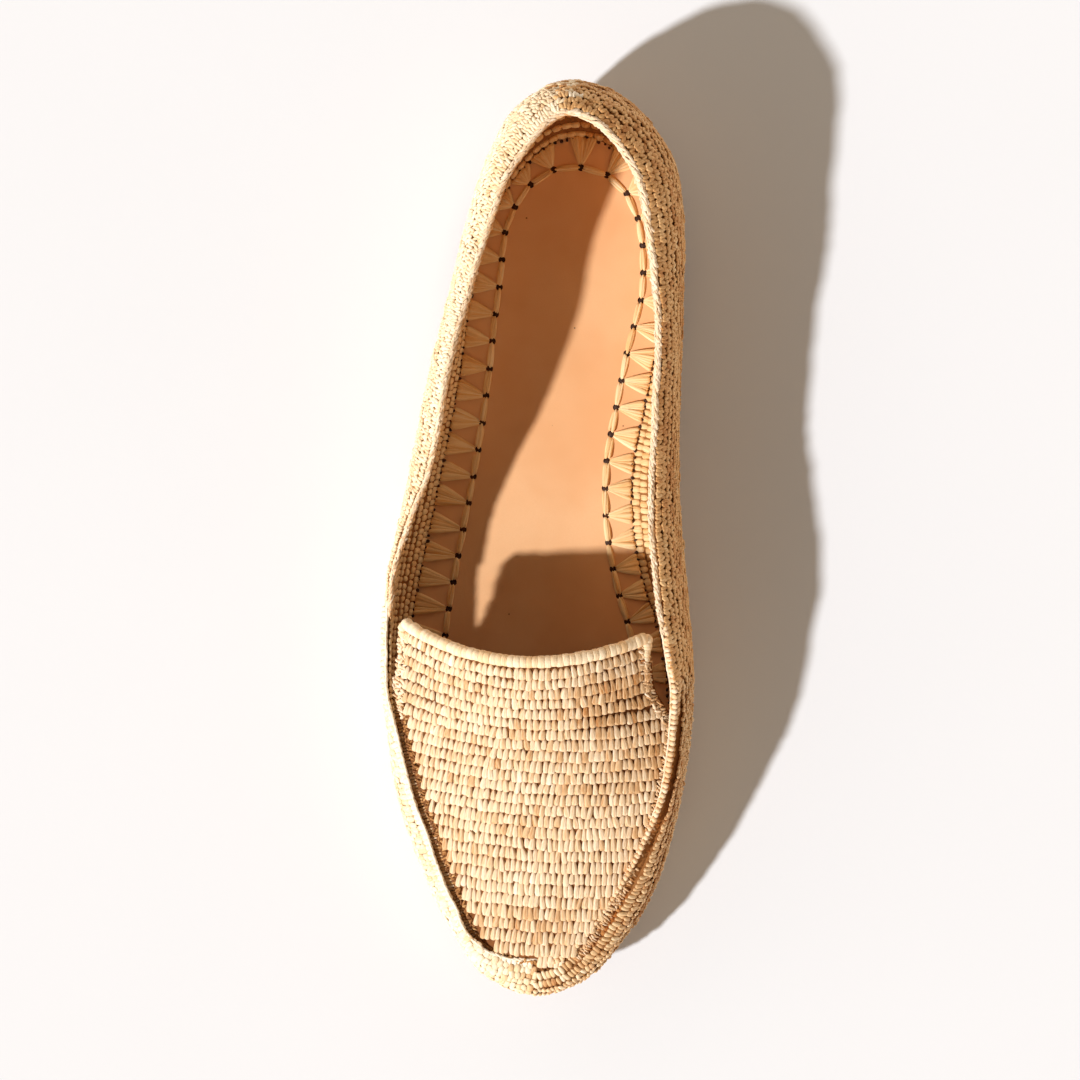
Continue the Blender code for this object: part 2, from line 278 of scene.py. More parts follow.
def addNode(tree, kind, inputs=None, **settings):
    node = tree.nodes.new(kind)
    for key, value in settings.items():
        setattr(node, key, value)
    for key, value in (inputs or {}).items():
        if isinstance(value, bpy.types.NodeSocket):
            tree.links.new(value, node.inputs[key])
        else:
            node.inputs[key].default_value = value
    return node


def mathNode(tree, operation, first, second=0.0):
    return addNode(tree, "ShaderNodeMath", {0: first, 1: second}, operation=operation).outputs[0]


def vectorNode(tree, operation, first, second=(0, 0, 0)):
    node = addNode(tree, "ShaderNodeVectorMath", {0: first, 1: second}, operation=operation)
    return node.outputs[0]


def splitNode(tree, vector):
    return addNode(tree, "ShaderNodeSeparateXYZ", {0: vector}).outputs


def objectPlace(tree):
    return addNode(tree, "ShaderNodeTexCoord").outputs["Object"]


def mixNode(tree, factor, first, second):
    return addNode(tree, "ShaderNodeMix", {0: factor, 6: first, 7: second}, data_type="RGBA").outputs[2]


def rangeNode(tree, value, low, high, toLow=0.0, toHigh=1.0):
    sizes = {"Value": value, "From Min": low, "From Max": high, "To Min": toLow, "To Max": toHigh}
    return addNode(tree, "ShaderNodeMapRange", sizes, interpolation_type="SMOOTHSTEP").outputs[0]


def rampNode(tree, value, stops):
    node = addNode(tree, "ShaderNodeValToRGB", {0: value})
    ramp = node.color_ramp
    while len(ramp.elements) < len(stops):
        ramp.elements.new(0.5)
    for element, (place, shade) in zip(ramp.elements, stops):
        element.position = place
        element.color = colour(*shade)
    return node.outputs[0]


def noiseNode(tree, vector, scale, detail=2.0, roughness=0.5):
    sizes = {"Vector": vector, "Scale": scale, "Detail": detail, "Roughness": roughness}
    return addNode(tree, "ShaderNodeTexNoise", sizes).outputs[0]


def newMaterial(name, roughness, specular=0.4):
    made = bpy.data.materials.new(name)
    made.use_nodes = True
    shader = made.node_tree.nodes["Principled BSDF"]
    shader.inputs["Roughness"].default_value = roughness
    shader.inputs["Specular IOR Level"].default_value = specular
    return made, made.node_tree, shader


def addBump(tree, shader, height, distance, strength=1.0):
    sizes = {"Height": height, "Distance": distance, "Strength": strength}
    bump = addNode(tree, "ShaderNodeBump", sizes)
    tree.links.new(bump.outputs[0], shader.inputs["Normal"])


raffiaLook = {
    "deep": (182, 118, 60),
    "shade": (216, 166, 112),
    "straw": (236, 202, 160),
    "pale": (248, 228, 202),
    # the pit colour is painted shade at a stitch's ends and sides, where it meets the next stitches
    "pit": (140, 80, 32),
    "pitShare": 0.85,
    "pitFrom": 0.80,  # how far up a stitch the painted shade darkens it towards its upper end
    "lowShare": 0.5,  # how much of that its lower end takes
    "pitSides": 0.0,  # how far that keeps to a stitch's sides
    "fibres": 15.0,
    "fibreBump": 0.0002,
    "streak": 0.9,  # how far the fibres change the tone
    "chance": 0.16,  # how far it changes from one tile to the next
    "roughness": 0.62,
}
# the raffia as lit on the little toe's side: lighter, with painted light
litSideLook = {
    "deep": (214, 164, 108), "shade": (236, 204, 160), "straw": (247, 228, 196), "pale": (253, 242, 222),
    "pit": (190, 132, 72), "pitShare": 0.5, "streak": 1.0,
}
# the ribs on the big toe's side take the shaded copy with these colours, still painted shade
ribLook = {
    "shade": (206, 156, 104), "straw": (230, 194, 146), "pale": (244, 222, 184), "pitSides": 0.45,
}
# the raffia as shaded on the big toe's side: darker and more orange, with painted shade
shadedSideLook = {
    "deep": (166, 102, 46), "shade": (202, 144, 84), "straw": (224, 178, 120), "pale": (240, 206, 156),
    "pit": (112, 60, 22), "pitShare": 0.7,
}


def raffiaMaterial(name, streaks="along", **changes):
    # reads the shared sheet: a tile's row is its tone, and fibres run down each stitch or round it
    look = {**raffiaLook, **changes}
    made, tree, shader = newMaterial(name, look["roughness"])
    sheet = addNode(tree, "ShaderNodeUVMap", uv_map=mapName).outputs[0]
    tiled = vectorNode(tree, "MULTIPLY", sheet, (tilesAcross, tilesAcross, 0))
    around, down, _ = splitNode(tree, vectorNode(tree, "FRACTION", tiled))
    tile = vectorNode(tree, "FLOOR", tiled)
    chance = addNode(tree, "ShaderNodeTexWhiteNoise", {"Vector": tile}, noise_dimensions="3D").outputs[0]
    tone = splitNode(tree, tile)[1]
    fine, coarse = (look["fibres"], 1.6) if streaks == "along" else (1.2, look["fibres"])
    fibreAt = addNode(tree, "ShaderNodeCombineXYZ", {
        0: mathNode(tree, "MULTIPLY", around, fine),
        1: mathNode(tree, "MULTIPLY", down, coarse),
        2: mathNode(tree, "MULTIPLY", chance, 60.0),
    }).outputs[0]
    fibre = noiseNode(tree, fibreAt, 1.0, 3.0, 0.6)
    value = mathNode(tree, "MULTIPLY_ADD", tone, 1 / tilesAcross)
    value.node.inputs[2].default_value = 0.02
    for change, amount in ((fibre, look["streak"]), (chance, look["chance"])):
        change = mathNode(tree, "SUBTRACT", change, 0.5)
        value = mathNode(tree, "ADD", value, mathNode(tree, "MULTIPLY", change, amount))
    stops = zip((0.05, 0.32, 0.62, 0.95), ("deep", "shade", "straw", "pale"))
    shade = rampNode(tree, value, [(stop, look[key]) for stop, key in stops])
    # painted shade: each stitch darkens to the pit colour at its ends and, by pitSides, at its sides
    pitShare, pitFrom = look["pitShare"], look["pitFrom"]
    upper = rangeNode(tree, down, pitFrom, 1.0, 0.0, pitShare)
    lower = rangeNode(tree, down, 1 - pitFrom, 0.0, 0.0, pitShare * look["lowShare"])
    # the middle of a stitch's outer face is a quarter of the way round it
    sides = mathNode(tree, "ABSOLUTE", mathNode(tree, "SUBTRACT", around, 0.25))
    sides = rangeNode(tree, sides, 0.02, 0.17, 1 - look["pitSides"], 1.0)
    pit = mathNode(tree, "MULTIPLY", mathNode(tree, "ADD", upper, lower), sides)
    shade = mixNode(tree, pit, shade, colour(*look["pit"]))
    tree.links.new(shade, shader.inputs["Base Color"])
    addBump(tree, shader, fibre, look["fibreBump"])
    return made


groundLook = {
    "dark": (116, 70, 32),
    "light": (174, 120, 66),
    "grain": 900.0,
    "weave": 420.0,
    "bump": 0.0005,
}


def groundMaterial(name, **changes):
    # the raffia between and behind the stitches; its browns are partly its own colour and partly painted
    # shade in the gaps
    look = {**groundLook, **changes}
    made, tree, shader = newMaterial(name, 0.8, 0.25)
    at = objectPlace(tree)
    grain = noiseNode(tree, at, look["grain"], 3.0, 0.65)
    weave = noiseNode(tree, at, look["weave"], 1.0, 0.4)
    shade = mixNode(tree, grain, colour(*look["dark"]), colour(*look["light"]))
    # painted light: the ground turns lighter towards the little toe's side
    if "sunny" in look:
        toLateral = rangeNode(tree, splitNode(tree, at)[0], 8 * mm, -8 * mm)
        shade = mixNode(tree, toLateral, shade, colour(*look["sunny"]))
    tree.links.new(shade, shader.inputs["Base Color"])
    height = mathNode(tree, "ADD", weave, mathNode(tree, "MULTIPLY", grain, 0.4))
    addBump(tree, shader, height, look["bump"])
    return made


oneLeaf = ((0.0, 0.0, 1.0),)


def makeStitch(name, around, along, blunt=0.45, taper=0.0, arch=0.0, leaves=oneLeaf):
    # one stitch a unit long down Y, blunt at its ends, narrower to +Y, its middle raised by arch;
    # each leaf of it has a shift to the side, a turn in degrees and a width
    bm = bmesh.new()
    bm.loops.layers.uv.new("stitchMap")
    lying = Matrix.Rotation(-math.pi / 2, 3, "X")
    for shift, angle, width in leaves:
        made = bmesh.ops.create_uvsphere(
            bm, u_segments=around, v_segments=along, radius=0.5, calc_uvs=True,
        )
        bmesh.ops.rotate(bm, verts=made["verts"], cent=(0, 0, 0), matrix=lying)
        for vert in made["verts"]:
            radial = math.hypot(vert.co.x, vert.co.z) * 2
            if radial > 0.01:
                vert.co.x *= radial ** -blunt * (1 - taper * vert.co.y * 2) * width
                vert.co.z *= radial ** -blunt
            vert.co.z += arch * (1 - (vert.co.y * 2) ** 2)
        turned = Matrix.Rotation(math.radians(angle), 3, "Z")
        bmesh.ops.rotate(bm, verts=made["verts"], cent=(0, 0, 0), matrix=turned)
        bmesh.ops.translate(bm, verts=made["verts"], vec=(shift, 0, 0))
    mesh = bpy.data.meshes.new(name)
    bm.to_mesh(mesh)
    bm.free()
    mesh.shade_smooth()
    return mesh


def newBatch(seed):
    lists = {key: [] for key in ("place", "along", "outward", "stretch", "tile", "kind")}
    return {"random": np.random.default_rng(seed), **lists}


def addStitches(
    batch, place, along, outward, size, tone, kinds=1,
    shift=0.07, swing=4.0, vary=0.07, mottle=0.7, turned=0.0,
):
    # size is across, down and through each stitch; tone runs from 0, deep, to 1, pale. How loosely
    # they lie: shift in millimetres, swing in degrees, vary as a share of size, mottle in tiles
    random = batch["random"]
    count = len(place)
    if count == 0:
        return
    side = unit(np.cross(outward, along))
    angle = np.radians(random.normal(0, swing, count) + turned)[:, None]
    sizes = np.broadcast_to(np.asarray(size, float), (count, 3))
    vary = np.clip(random.normal(1, vary, (count, 3)), 1 - 2 * vary, 1 + 2 * vary)
    tones = np.broadcast_to(tone, count) * (tilesAcross - 1)
    tones = tones + np.clip(random.normal(0, mottle, count), -1.6, 1.6)
    rows = np.clip(np.round(tones), 0, tilesAcross - 1)
    columns = random.integers(0, tilesAcross, count)
    batch["place"].append(place + random.normal(0, shift, (count, 3)))
    batch["along"].append(along * np.cos(angle) + side * np.sin(angle))
    batch["outward"].append(np.broadcast_to(outward, (count, 3)))
    batch["stretch"].append(sizes * vary)
    batch["tile"].append(np.stack([columns, rows, np.zeros(count)], -1) / tilesAcross)
    batch["kind"].append(random.integers(0, kinds, count))


def stitchTree(name, shapes):
    tree = bpy.data.node_groups.new(name, "GeometryNodeTree")
    tree.interface.new_socket("Geometry", in_out="INPUT", socket_type="NodeSocketGeometry")
    tree.interface.new_socket("Geometry", in_out="OUTPUT", socket_type="NodeSocketGeometry")

    def reading(attribute, kind="FLOAT_VECTOR"):
        node = addNode(tree, "GeometryNodeInputNamedAttribute", {"Name": attribute}, data_type=kind)
        return node.outputs[0]

    points = addNode(tree, "NodeGroupInput").outputs[0]
    source = addNode(tree, "GeometryNodeCollectionInfo", {
        "Collection": shapes, "Separate Children": True, "Reset Children": True,
    }).outputs[0]
    turn = addNode(tree, "FunctionNodeAxesToRotation", {
        "Primary Axis": reading("outward"), "Secondary Axis": reading("along"),
    }, primary_axis="Z", secondary_axis="X").outputs[0]
    copies = addNode(tree, "GeometryNodeInstanceOnPoints", {
        "Points": points, "Instance": source, "Pick Instance": True,
        "Instance Index": reading("kind", "INT"), "Rotation": turn, "Scale": reading("stretch"),
    }).outputs[0]
    real = addNode(tree, "GeometryNodeRealizeInstances", {0: copies}).outputs[0]
    margin = 0.05 / tilesAcross
    share = 1 / tilesAcross - 2 * margin
    inTile = vectorNode(tree, "MULTIPLY", reading("stitchMap"), (share, share, 0))
    inTile = vectorNode(tree, "ADD", inTile, (margin, margin, 0))
    sheet = vectorNode(tree, "ADD", inTile, reading("tile"))
    stored = addNode(tree, "GeometryNodeStoreNamedAttribute", {
        "Geometry": real, "Name": mapName, "Value": sheet,
    }, data_type="FLOAT2", domain="CORNER").outputs[0]
    addNode(tree, "NodeGroupOutput", {0: stored})
    return tree


def layStitches(name, batch, stitches, finish, slotName, *replaced):
    # points with an attribute for each way a stitch differs, then one joined mesh of stitches
    scene = bpy.context.scene
    shapes = bpy.data.collections.new(name + "Shapes")
    scene.collection.children.link(shapes)
    for stitch in stitches:
        shapes.objects.link(bpy.data.objects.new(stitch.name, stitch))
    points = bpy.data.meshes.new(name + "Points")
    places = np.concatenate(batch["place"]) * mm
    points.vertices.add(len(places))
    points.vertices.foreach_set("co", places.astype(np.float32).ravel())
    for key, scale in (("along", 1), ("outward", 1), ("stretch", mm), ("tile", 1)):
        values = (np.concatenate(batch[key]) * scale).astype(np.float32)
        points.attributes.new(key, "FLOAT_VECTOR", "POINT").data.foreach_set("vector", values.ravel())
    kinds = np.concatenate(batch["kind"]).astype(np.int32)
    points.attributes.new("kind", "INT", "POINT").data.foreach_set("value", kinds)
    maker = bpy.data.objects.new(name + "Points", points)
    scene.collection.objects.link(maker)
    maker.modifiers.new("stitches", "NODES").node_group = stitchTree(name, shapes)
    graph = bpy.context.evaluated_depsgraph_get()
    mesh = bpy.data.meshes.new_from_object(maker.evaluated_get(graph))
    mesh.name = name
    for key in ("along", "outward", "stretch", "tile", "kind", "stitchMap"):
        if key in mesh.attributes:
            mesh.attributes.remove(mesh.attributes[key])
    mesh.materials.clear()
    mesh.materials.append(finish)
    for helper in [maker, *shapes.objects]:
        bpy.data.objects.remove(helper)
    bpy.data.collections.remove(shapes)
    piece = bpy.data.objects.new(name, mesh)
    scene.collection.objects.link(piece)
    finishPiece(piece, slotName, *replaced)
    mesh.calc_loop_triangles()
    report(f"{name}: {len(places)} stitches, {len(mesh.loop_triangles)} triangles")


def finishPiece(piece, slotName, *replaced):
    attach(piece, "root")
    if replaced:
        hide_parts(*replaced)


creaseAngle = 40  # edges sharper than this, in degrees, are shaded as edges


def newPiece(name, bm, finish, slotName, *replaced):
    bmesh.ops.recalc_face_normals(bm, faces=bm.faces)
    mesh = bpy.data.meshes.new(name)
    bm.to_mesh(mesh)
    bm.free()
    mesh.shade_smooth()
    mesh.set_sharp_from_angle(angle=math.radians(creaseAngle))
    mesh.materials.append(finish)
    piece = bpy.data.objects.new(name, mesh)
    bpy.context.scene.collection.objects.link(piece)
    finishPiece(piece, slotName, *replaced)
    report(f"{name}: {len(mesh.polygons)} faces")
    return piece


wallWeave = {
    # for each region: first row below the rim, row pitch, stitch pitch, height, how far its upper
    # ends lean out, how far it is sunk, and a stitch's width and length in pitches
    "regions": {
        ("lateral", "heel"): (0.9, 2.2, 1.9, 1.0, 0.0, 0.3, 1.26, 1.26),
        ("medial", "heel"): (1.3, 2.4, 2.1, 0.92, 0.10, 0.36, 1.26, 1.24),
        ("lateral", "fore"): (0.9, 2.1, 1.7, 0.85, 0.0, 0.25, 1.26, 1.3),
        ("medial", "fore"): (2.6, 3.1, 1.4, 1.12, 0.27, 0.5, 1.16, 1.22),
    },
    # the lit copy of the raffia, with painted light, gives way to the shaded copy, with painted shade,
    # round the toe and round the heel, by turn
    "toeBlend": (0.94, 1.13),
    "heelBlend": (-0.04, 0.07),
    "rows": 24,
    "lowest": 0.6,  # above the outsole
    "tone": 0.6,
    "wander": 0.14,
    "ribsFrom": 170.0,  # stitches are pairs of leaves behind here and plain ribs before it
    # slanted stitches below the rim at the back on the little toe's side
    "slant": 34.0,
    "slantTo": 75.0,
    # the fold under the ridge on the big toe's side: depth below the rim, width, how deep it cuts
    "foldAt": 2.7,
    "foldWidth": 1.7,
    "foldDeep": 1.7,
    "foldFrom": 165.0,
    "foldTo": 256.0,
    # the shelf below that fold: how far below it, width and height
    "shelf": (4.2, 2.2, 0.4),
    "hills": 0.25,
    "loose": {"shift": 0.13, "swing": 9.0, "vary": 0.10, "mottle": 0.6},
}
# waves round, height and phase
collarWobble = [(5, 0.30, 0.4), (11, 0.26, 2.1), (23, 0.16, 0.9), (41, 0.10, 3.3)]
wobbleFades = 9.0  # the depth at which about a third of it is left


def wobble(turn, depth):
    # the hand-made unevenness of the collar's line, dying out down the wall
    waves = sum(reach * np.sin(count * turn + phase) for count, reach, phase in collarWobble)
    return waves * np.exp(-depth / wobbleFades)


def wallRelief(turn, at, depth):
    # how far the outer face stands out of the last: wobble, slow hills, and a fold below the ridge
    weave = wallWeave
    medial = smooth(math.pi * 0.96, math.pi * 1.08, turn)
    reach = smooth(weave["foldFrom"], weave["foldFrom"] + 30, at)
    reach = reach * (1 - smooth(weave["foldTo"] - 8, weave["foldTo"] + 4, at))
    below, width, high = weave["shelf"]
    fold = weave["foldDeep"] * np.exp(-(((depth - weave["foldAt"]) / weave["foldWidth"]) ** 2))
    shelf = high * np.exp(-(((depth - weave["foldAt"] - below) / width) ** 2))
    slow = np.sin(turn * 9 + depth * 0.21) * np.sin(turn * 4.3 + 1.7 + depth * 0.13) * weave["hills"]
    return medial * reach * (shelf - fold) + slow + wobble(turn, depth)


def wallRow(depth, pitch, offset):
    # turns, rises and heights above the foot of stitches at an even pitch, at a depth below the rim
    rises = riseAtDepth(depth)
    length = lengthAlong(ringed(wallPoint(wallTurns, rises)))
    count = int(round(length[-1] / pitch))
    spots = (np.arange(count) + offset) / count * length[-1]
    turns = np.interp(spots, length, closedTurns)
    rises = np.interp(spots, length, ringed(rises))
    return turns, rises, atTurns(turns, wallDepths[:, -1] - depth)


def litSideShare(turn):
    # the share of stitches in the lit copy of the raffia, lighter with painted light
    toe = [share * math.pi for share in wallWeave["toeBlend"]]
    heel = [share * math.pi for share in wallWeave["heelBlend"]]
    fromHeel = np.where(turn > 1.5 * math.pi, turn - tau, turn)
    return smooth(*heel, fromHeel) * (1 - smooth(*toe, turn) * (turn < 1.5 * math.pi))


def makeWallStitches():
    weave = wallWeave
    pairs = [
        makeStitch("pairA", 7, 4, 0.35, leaves=((-0.24, -19, 0.56), (0.24, 19, 0.56))),
        makeStitch("pairB", 7, 4, 0.35, leaves=((-0.22, -26, 0.58), (0.25, 13, 0.52))),
        makeStitch("pairC", 7, 4, 0.35, leaves=((-0.26, -12, 0.52), (0.22, 25, 0.60))),
    ]
    ribs = [
        makeStitch("ribA", 9, 5, 0.45, 0.10),
        makeStitch("ribB", 9, 5, 0.45, -0.12),
        makeStitch("ribC", 8, 5, 0.38, 0.0),
    ]
    batches = {
        ("sunny", "heel"): newBatch(11),
        ("warm", "heel"): newBatch(12),
        ("sunny", "fore"): newBatch(13),
        ("warm", "fore"): newBatch(14),
    }
    chances = np.random.default_rng(15)
    for (side, region), sizes in weave["regions"].items():
        first, rowPitch, stitchPitch, height, lean, sink, wide, long = sizes
        edge = -1 if region == "heel" else 1
        for row in range(weave["rows"]):
            depth = first + row * rowPitch
            turns, rises, left = wallRow(depth, stitchPitch, 0.5 * (row % 2))
            place, along, up, outward = wallFrame(turns, rises)
            at = heelY - place[:, 1]
            shown = (left > weave["lowest"]) & (edge * (at - weave["ribsFrom"]) > 0)
            shown &= (turns <= math.pi) == (side == "lateral")
            sunny = chances.random(len(turns)) < litSideShare(turns)
            relief = wallRelief(turns, at, depth)
            wander = weave["wander"] * np.sin(turns * 23 + row * 1.9)
            place = place + outward * (relief - sink)[:, None] + up * wander[:, None]
            tone = weave["tone"] + 0.10 * np.sin(turns * 7 + row * 0.7)
            slant = weave["slant"] * (1 - smooth(weave["slantTo"] - 25, weave["slantTo"], at))
            slant = slant * (turns < math.pi) * smooth(2, 9, depth) * (1 - smooth(16, 26, depth))
            facing = unit(outward - up * lean)
            for look, mine in (("sunny", shown & sunny), ("warm", shown & ~sunny)):
                addStitches(
                    batches[look, region], place[mine], along[mine], facing[mine],
                    (stitchPitch * wide, rowPitch * long, height), tone[mine], len(pairs),
                    turned=slant[mine], **weave["loose"],
                )
    # lit and shaded copies of one raffia: painted light on the little toe's side, painted shade on the big
    # toe's side
    looks = {
        ("sunny", "heel"): raffiaMaterial("sunnyRaffia", **litSideLook),
        ("warm", "heel"): raffiaMaterial("warmRaffia", pitSides=0.3, **shadedSideLook),
        ("warm", "fore"): raffiaMaterial("ribRaffia", **{**shadedSideLook, **ribLook}),
    }
    looks["sunny", "fore"] = looks["sunny", "heel"]
    for (look, region), batch in batches.items():
        stitches = [shape.copy() for shape in (pairs if region == "heel" else ribs)]
        name = look + region.capitalize()
        nodes = ["upper"] if name == "sunnyHeel" else []
        layStitches(name, batch, stitches, looks[look, region], "woven_raffia", *nodes)


innerWeave = {
    # from and to which place, row pitch, stitch pitch, height, tone and a stitch's size in
    # pitches: bricks at the heel
    "zones": [(0, 42, 2.3, 3.7, 1.5, 0.4, 0.9), (42, 190, 3.0, 2.0, 0.9, 0.6, 1.02)],
    "liningBounce": 0.3,  # painted bounce light, added on the little toe's side where the lining is in shade
    "firstRow": 1.2,
    "frontMost": 190.0,
    # the lining meets the insole this far inside the foot's outline: place, little toe's side
    # and big toe's side
    "meets": [
        (0, 4.3, 4.3), (50, 4.3, 2.8), (84, 4.1, 1.4), (120, 3.4, 1.7), (165, 2.6, 1.4), (200, 2.0, 2.0),
    ],
    "leanHigh": 13.0,  # the lean dies out this far up, and half as far at the heel
    "loose": {"shift": 0.08, "swing": 5.0, "vary": 0.08, "mottle": 0.5},
    # the face of the ridge that looks down on the apron: depths below the rim, pitch, size, tone
    "ridgeDepths": (1.7, 3.9),
    "ridgePitch": 1.7,
    "ridgeSize": (1.8, 2.5, 1.3),
    "ridgeTone": 0.15,
    "ridgeLoose": {"shift": 0.12, "swing": 12.0, "vary": 0.12},
}
innerLook = {
    "pit": (112, 62, 24), "pitShare": 0.7,
    "deep": (180, 110, 48), "shade": (220, 166, 102), "straw": (240, 202, 148), "pale": (250, 224, 180),
}


def meetInset(at, isLateral):
    # how far inside the foot's outline the lining meets the insole
    rows = innerWeave["meets"]
    return np.where(isLateral, listed(rows, at, 1), listed(rows, at, 2))


def footOutline(turns):
    # the foot's outline, the ways in from it and along it, and where each of its points is
    x, y, at, isLateral = ringPoint("foot", turns)
    outline = np.stack([x, y], -1)
    along = unit(np.roll(outline, -1, 0) - np.roll(outline, 1, 0))
    inward = np.stack([-along[:, 1], along[:, 0]], -1)
    inward *= np.sign(np.sum(inward * (np.array(footMiddle) - outline), axis=1, keepdims=True))
    return outline, inward, along, at, isLateral


footMiddle = (axisX, 20.0)  # a point well inside the foot's outline
liningDeep = lastShape["wall"] - 0.6  # from the outer face to the middle of the lining's stitches


def liningFoot():
    # where the lining meets the insole: the arc from the foot of the wall, and how far it must
    # lean in there to stand on its line
    _, _, _, outward = wallFrame(wallTurns[:, None], fallingRises[None, :])
    inner = wallGrid - outward * liningDeep
    above = inner[:, :, 2] - insoleTop(heelY - inner[:, :, 1])
    arcs = wallDepths[:, -1:] - wallDepths
    foot = np.array([
        [np.interp(0, high[::-1], values[::-1]) for values in (arc, points[:, 0], points[:, 1])]
        for high, arc, points in zip(above, arcs, inner)
    ])
    outline, inward, _, at, isLateral = footOutline(wallTurns)
    natural = np.sum((foot[:, 1:] - outline) * inward, axis=1)
    return foot[:, 0], meetInset(at, isLateral) - natural


footArcs, footLeans = liningFoot()


def innerLean(turns, at, height):
    back = 1 - smooth(35, 75, at)
    low = 1 - smooth(0, innerWeave["leanHigh"] * (1 - 0.5 * back), height - insoleTop(at))
    return atTurns(np.mod(turns, tau), footLeans) * low * (1 - smooth(185, 205, at))


def leanIn(turns, at, place, outward, depth):
    # a point of the lining: through the wall along its normal, then level towards the insole
    inside = place - outward * np.reshape(depth, (-1, 1))
    return inside - flattened(outward) * innerLean(turns, at, inside[:, 2])[:, None]


def makeInnerStitches():
    weave = innerWeave
    stitches = [
        makeStitch("innerStitchA", 8, 5, 0.65, 0.10),
        makeStitch("innerStitchB", 8, 4, 0.6, -0.08),
    ]
    batch = newBatch(21)
    # rows climb from the insole to the rim
    for start, end, rowPitch, stitchPitch, height, tone, cover in weave["zones"]:
        for row in range(24):
            arc = footArcs + weave["firstRow"] + row * rowPitch
            turns, rises, _ = wallRow(wallDepths[:, -1] - arc, stitchPitch, 0.5 * (row % 2))
            place, along, _, outward = wallFrame(turns, rises)
            at = heelY - place[:, 1]
            depth = np.interp(turns, wallTurns, wallDepths[:, -1] - arc)
            inside = leanIn(turns, at, place, outward, liningDeep - wobble(turns, depth))
            shown = (depth > 0.6) & (at >= start) & (at < end)
            tones = tone + weave["liningBounce"] * (turns < math.pi)
            size = (stitchPitch * cover, rowPitch * cover, height)
            addStitches(
                batch, inside[shown], along[shown], -outward[shown], size, tones[shown], len(stitches),
                **weave["loose"],
            )
    for row, depth in enumerate(weave["ridgeDepths"]):
        turns, rises, _ = wallRow(depth, weave["ridgePitch"], 0.5 * row)
        place, along, _, outward = wallFrame(turns, rises)
        at = heelY - place[:, 1]
        shown = (at >= weave["frontMost"]) & ((turns > math.pi * 0.95) | (at > 262))
        inside = place - outward * (lastShape["wall"] - 0.55)
        addStitches(
            batch, inside[shown], along[shown], -outward[shown], weave["ridgeSize"], weave["ridgeTone"],
            len(stitches), **weave["ridgeLoose"],
        )
    finish = raffiaMaterial("innerRaffia", **innerLook)
    layStitches("innerStitches", batch, stitches, finish, "woven_raffia")


coreWall = {
    "depth": 0.68,
    "thick": 0.35,
    "lining": 0.95,
    "turnSteps": 260,
    "riseSteps": 34,
    "ground": {"sunny": (204, 154, 98)},  # lighter on the little toe's side, painted light
}


def makeWallCore():
    # the raffia behind the stitches: one sheet under the outer face and one behind the lining
    size = coreWall
    finishes = {
        "wallCore": groundMaterial("wallGround", **size["ground"]),
        "liningCore": groundMaterial("raffiaGround"),
    }
    for name, finish in finishes.items():
        bm = bmesh.new()
        bmesh.ops.create_grid(bm, x_segments=size["turnSteps"], y_segments=size["riseSteps"], size=1)
        spots = np.array([vert.co[:2] for vert in bm.verts])
        steps = np.arange(len(closedTurns))
        turns = np.interp((spots[:, 0] + 1) / 2 * len(wallTurns), steps, closedTurns)
        rises = spots[:, 1] + 1
        place, _, _, outward = wallFrame(turns, rises)
        nearest = np.searchsorted(wallTurns, turns - 1e-6) % len(wallTurns)
        depth = np.array([np.interp(-r, -fallingRises, wallDepths[i]) for r, i in zip(rises, nearest)])
        at = heelY - place[:, 1]
        if name == "wallCore":
            place = place + outward * (wallRelief(turns, at, depth) - size["depth"])[:, None]
        else:
            behind = lastShape["wall"] - size["lining"] - wobble(turns, depth)
            place = leanIn(turns, at, place, outward, behind)
        for vert, point in zip(bm.verts, place):
            vert.co = point * mm
        bmesh.ops.remove_doubles(bm, verts=bm.verts, dist=0.02 * mm)
        piece = newPiece(name, bm, finish, "woven_raffia")
        thicken(piece, size["thick"])


def thicken(piece, thickness):
    shell = piece.modifiers.new("thickness", "SOLIDIFY")
    shell.thickness = thickness * mm
    shell.offset = -1
    shell.use_even_offset = True


rimWraps = {
    "above": 0.6,  # the collar's cord lies this far above the rim
    "rollEnd": 150.0,
    "rollFade": 14.0,
    # half the cord's width by place, on the little toe's side and on the big toe's side
    "across": [
        (10, 1.15, 1.15), (25, 0.95, 1.4), (45, 0.95, 1.3), (62, 0.95, 0.95), (95, 0.95, 0.9),
        (125, 0.5, 0.5),
    ],
    "high": 0.7,
    # how far round the cord each strand in turn lies, in degrees from its top
    "around": (-100, 20, -40, 80, -70, 50, -10, 105),
    "strandStep": 0.32,  # along the rim from one strand to the next
    "strand": (1.0, 3.4, 0.55),  # width, length and height
    "slant": 22.0,
    "tone": 0.9,
    "innerShade": 0.6,  # painted shade and bounce colour: how much warmer the strands on the cord's inner side are
    "loose": {"shift": 0.06, "swing": 6.0, "vary": 0.10, "mottle": 0.5},
}
collarLook = {"pitShare": 0.3, "pitFrom": 0.85, "lowShare": 1.0, "pit": (206, 150, 92)}
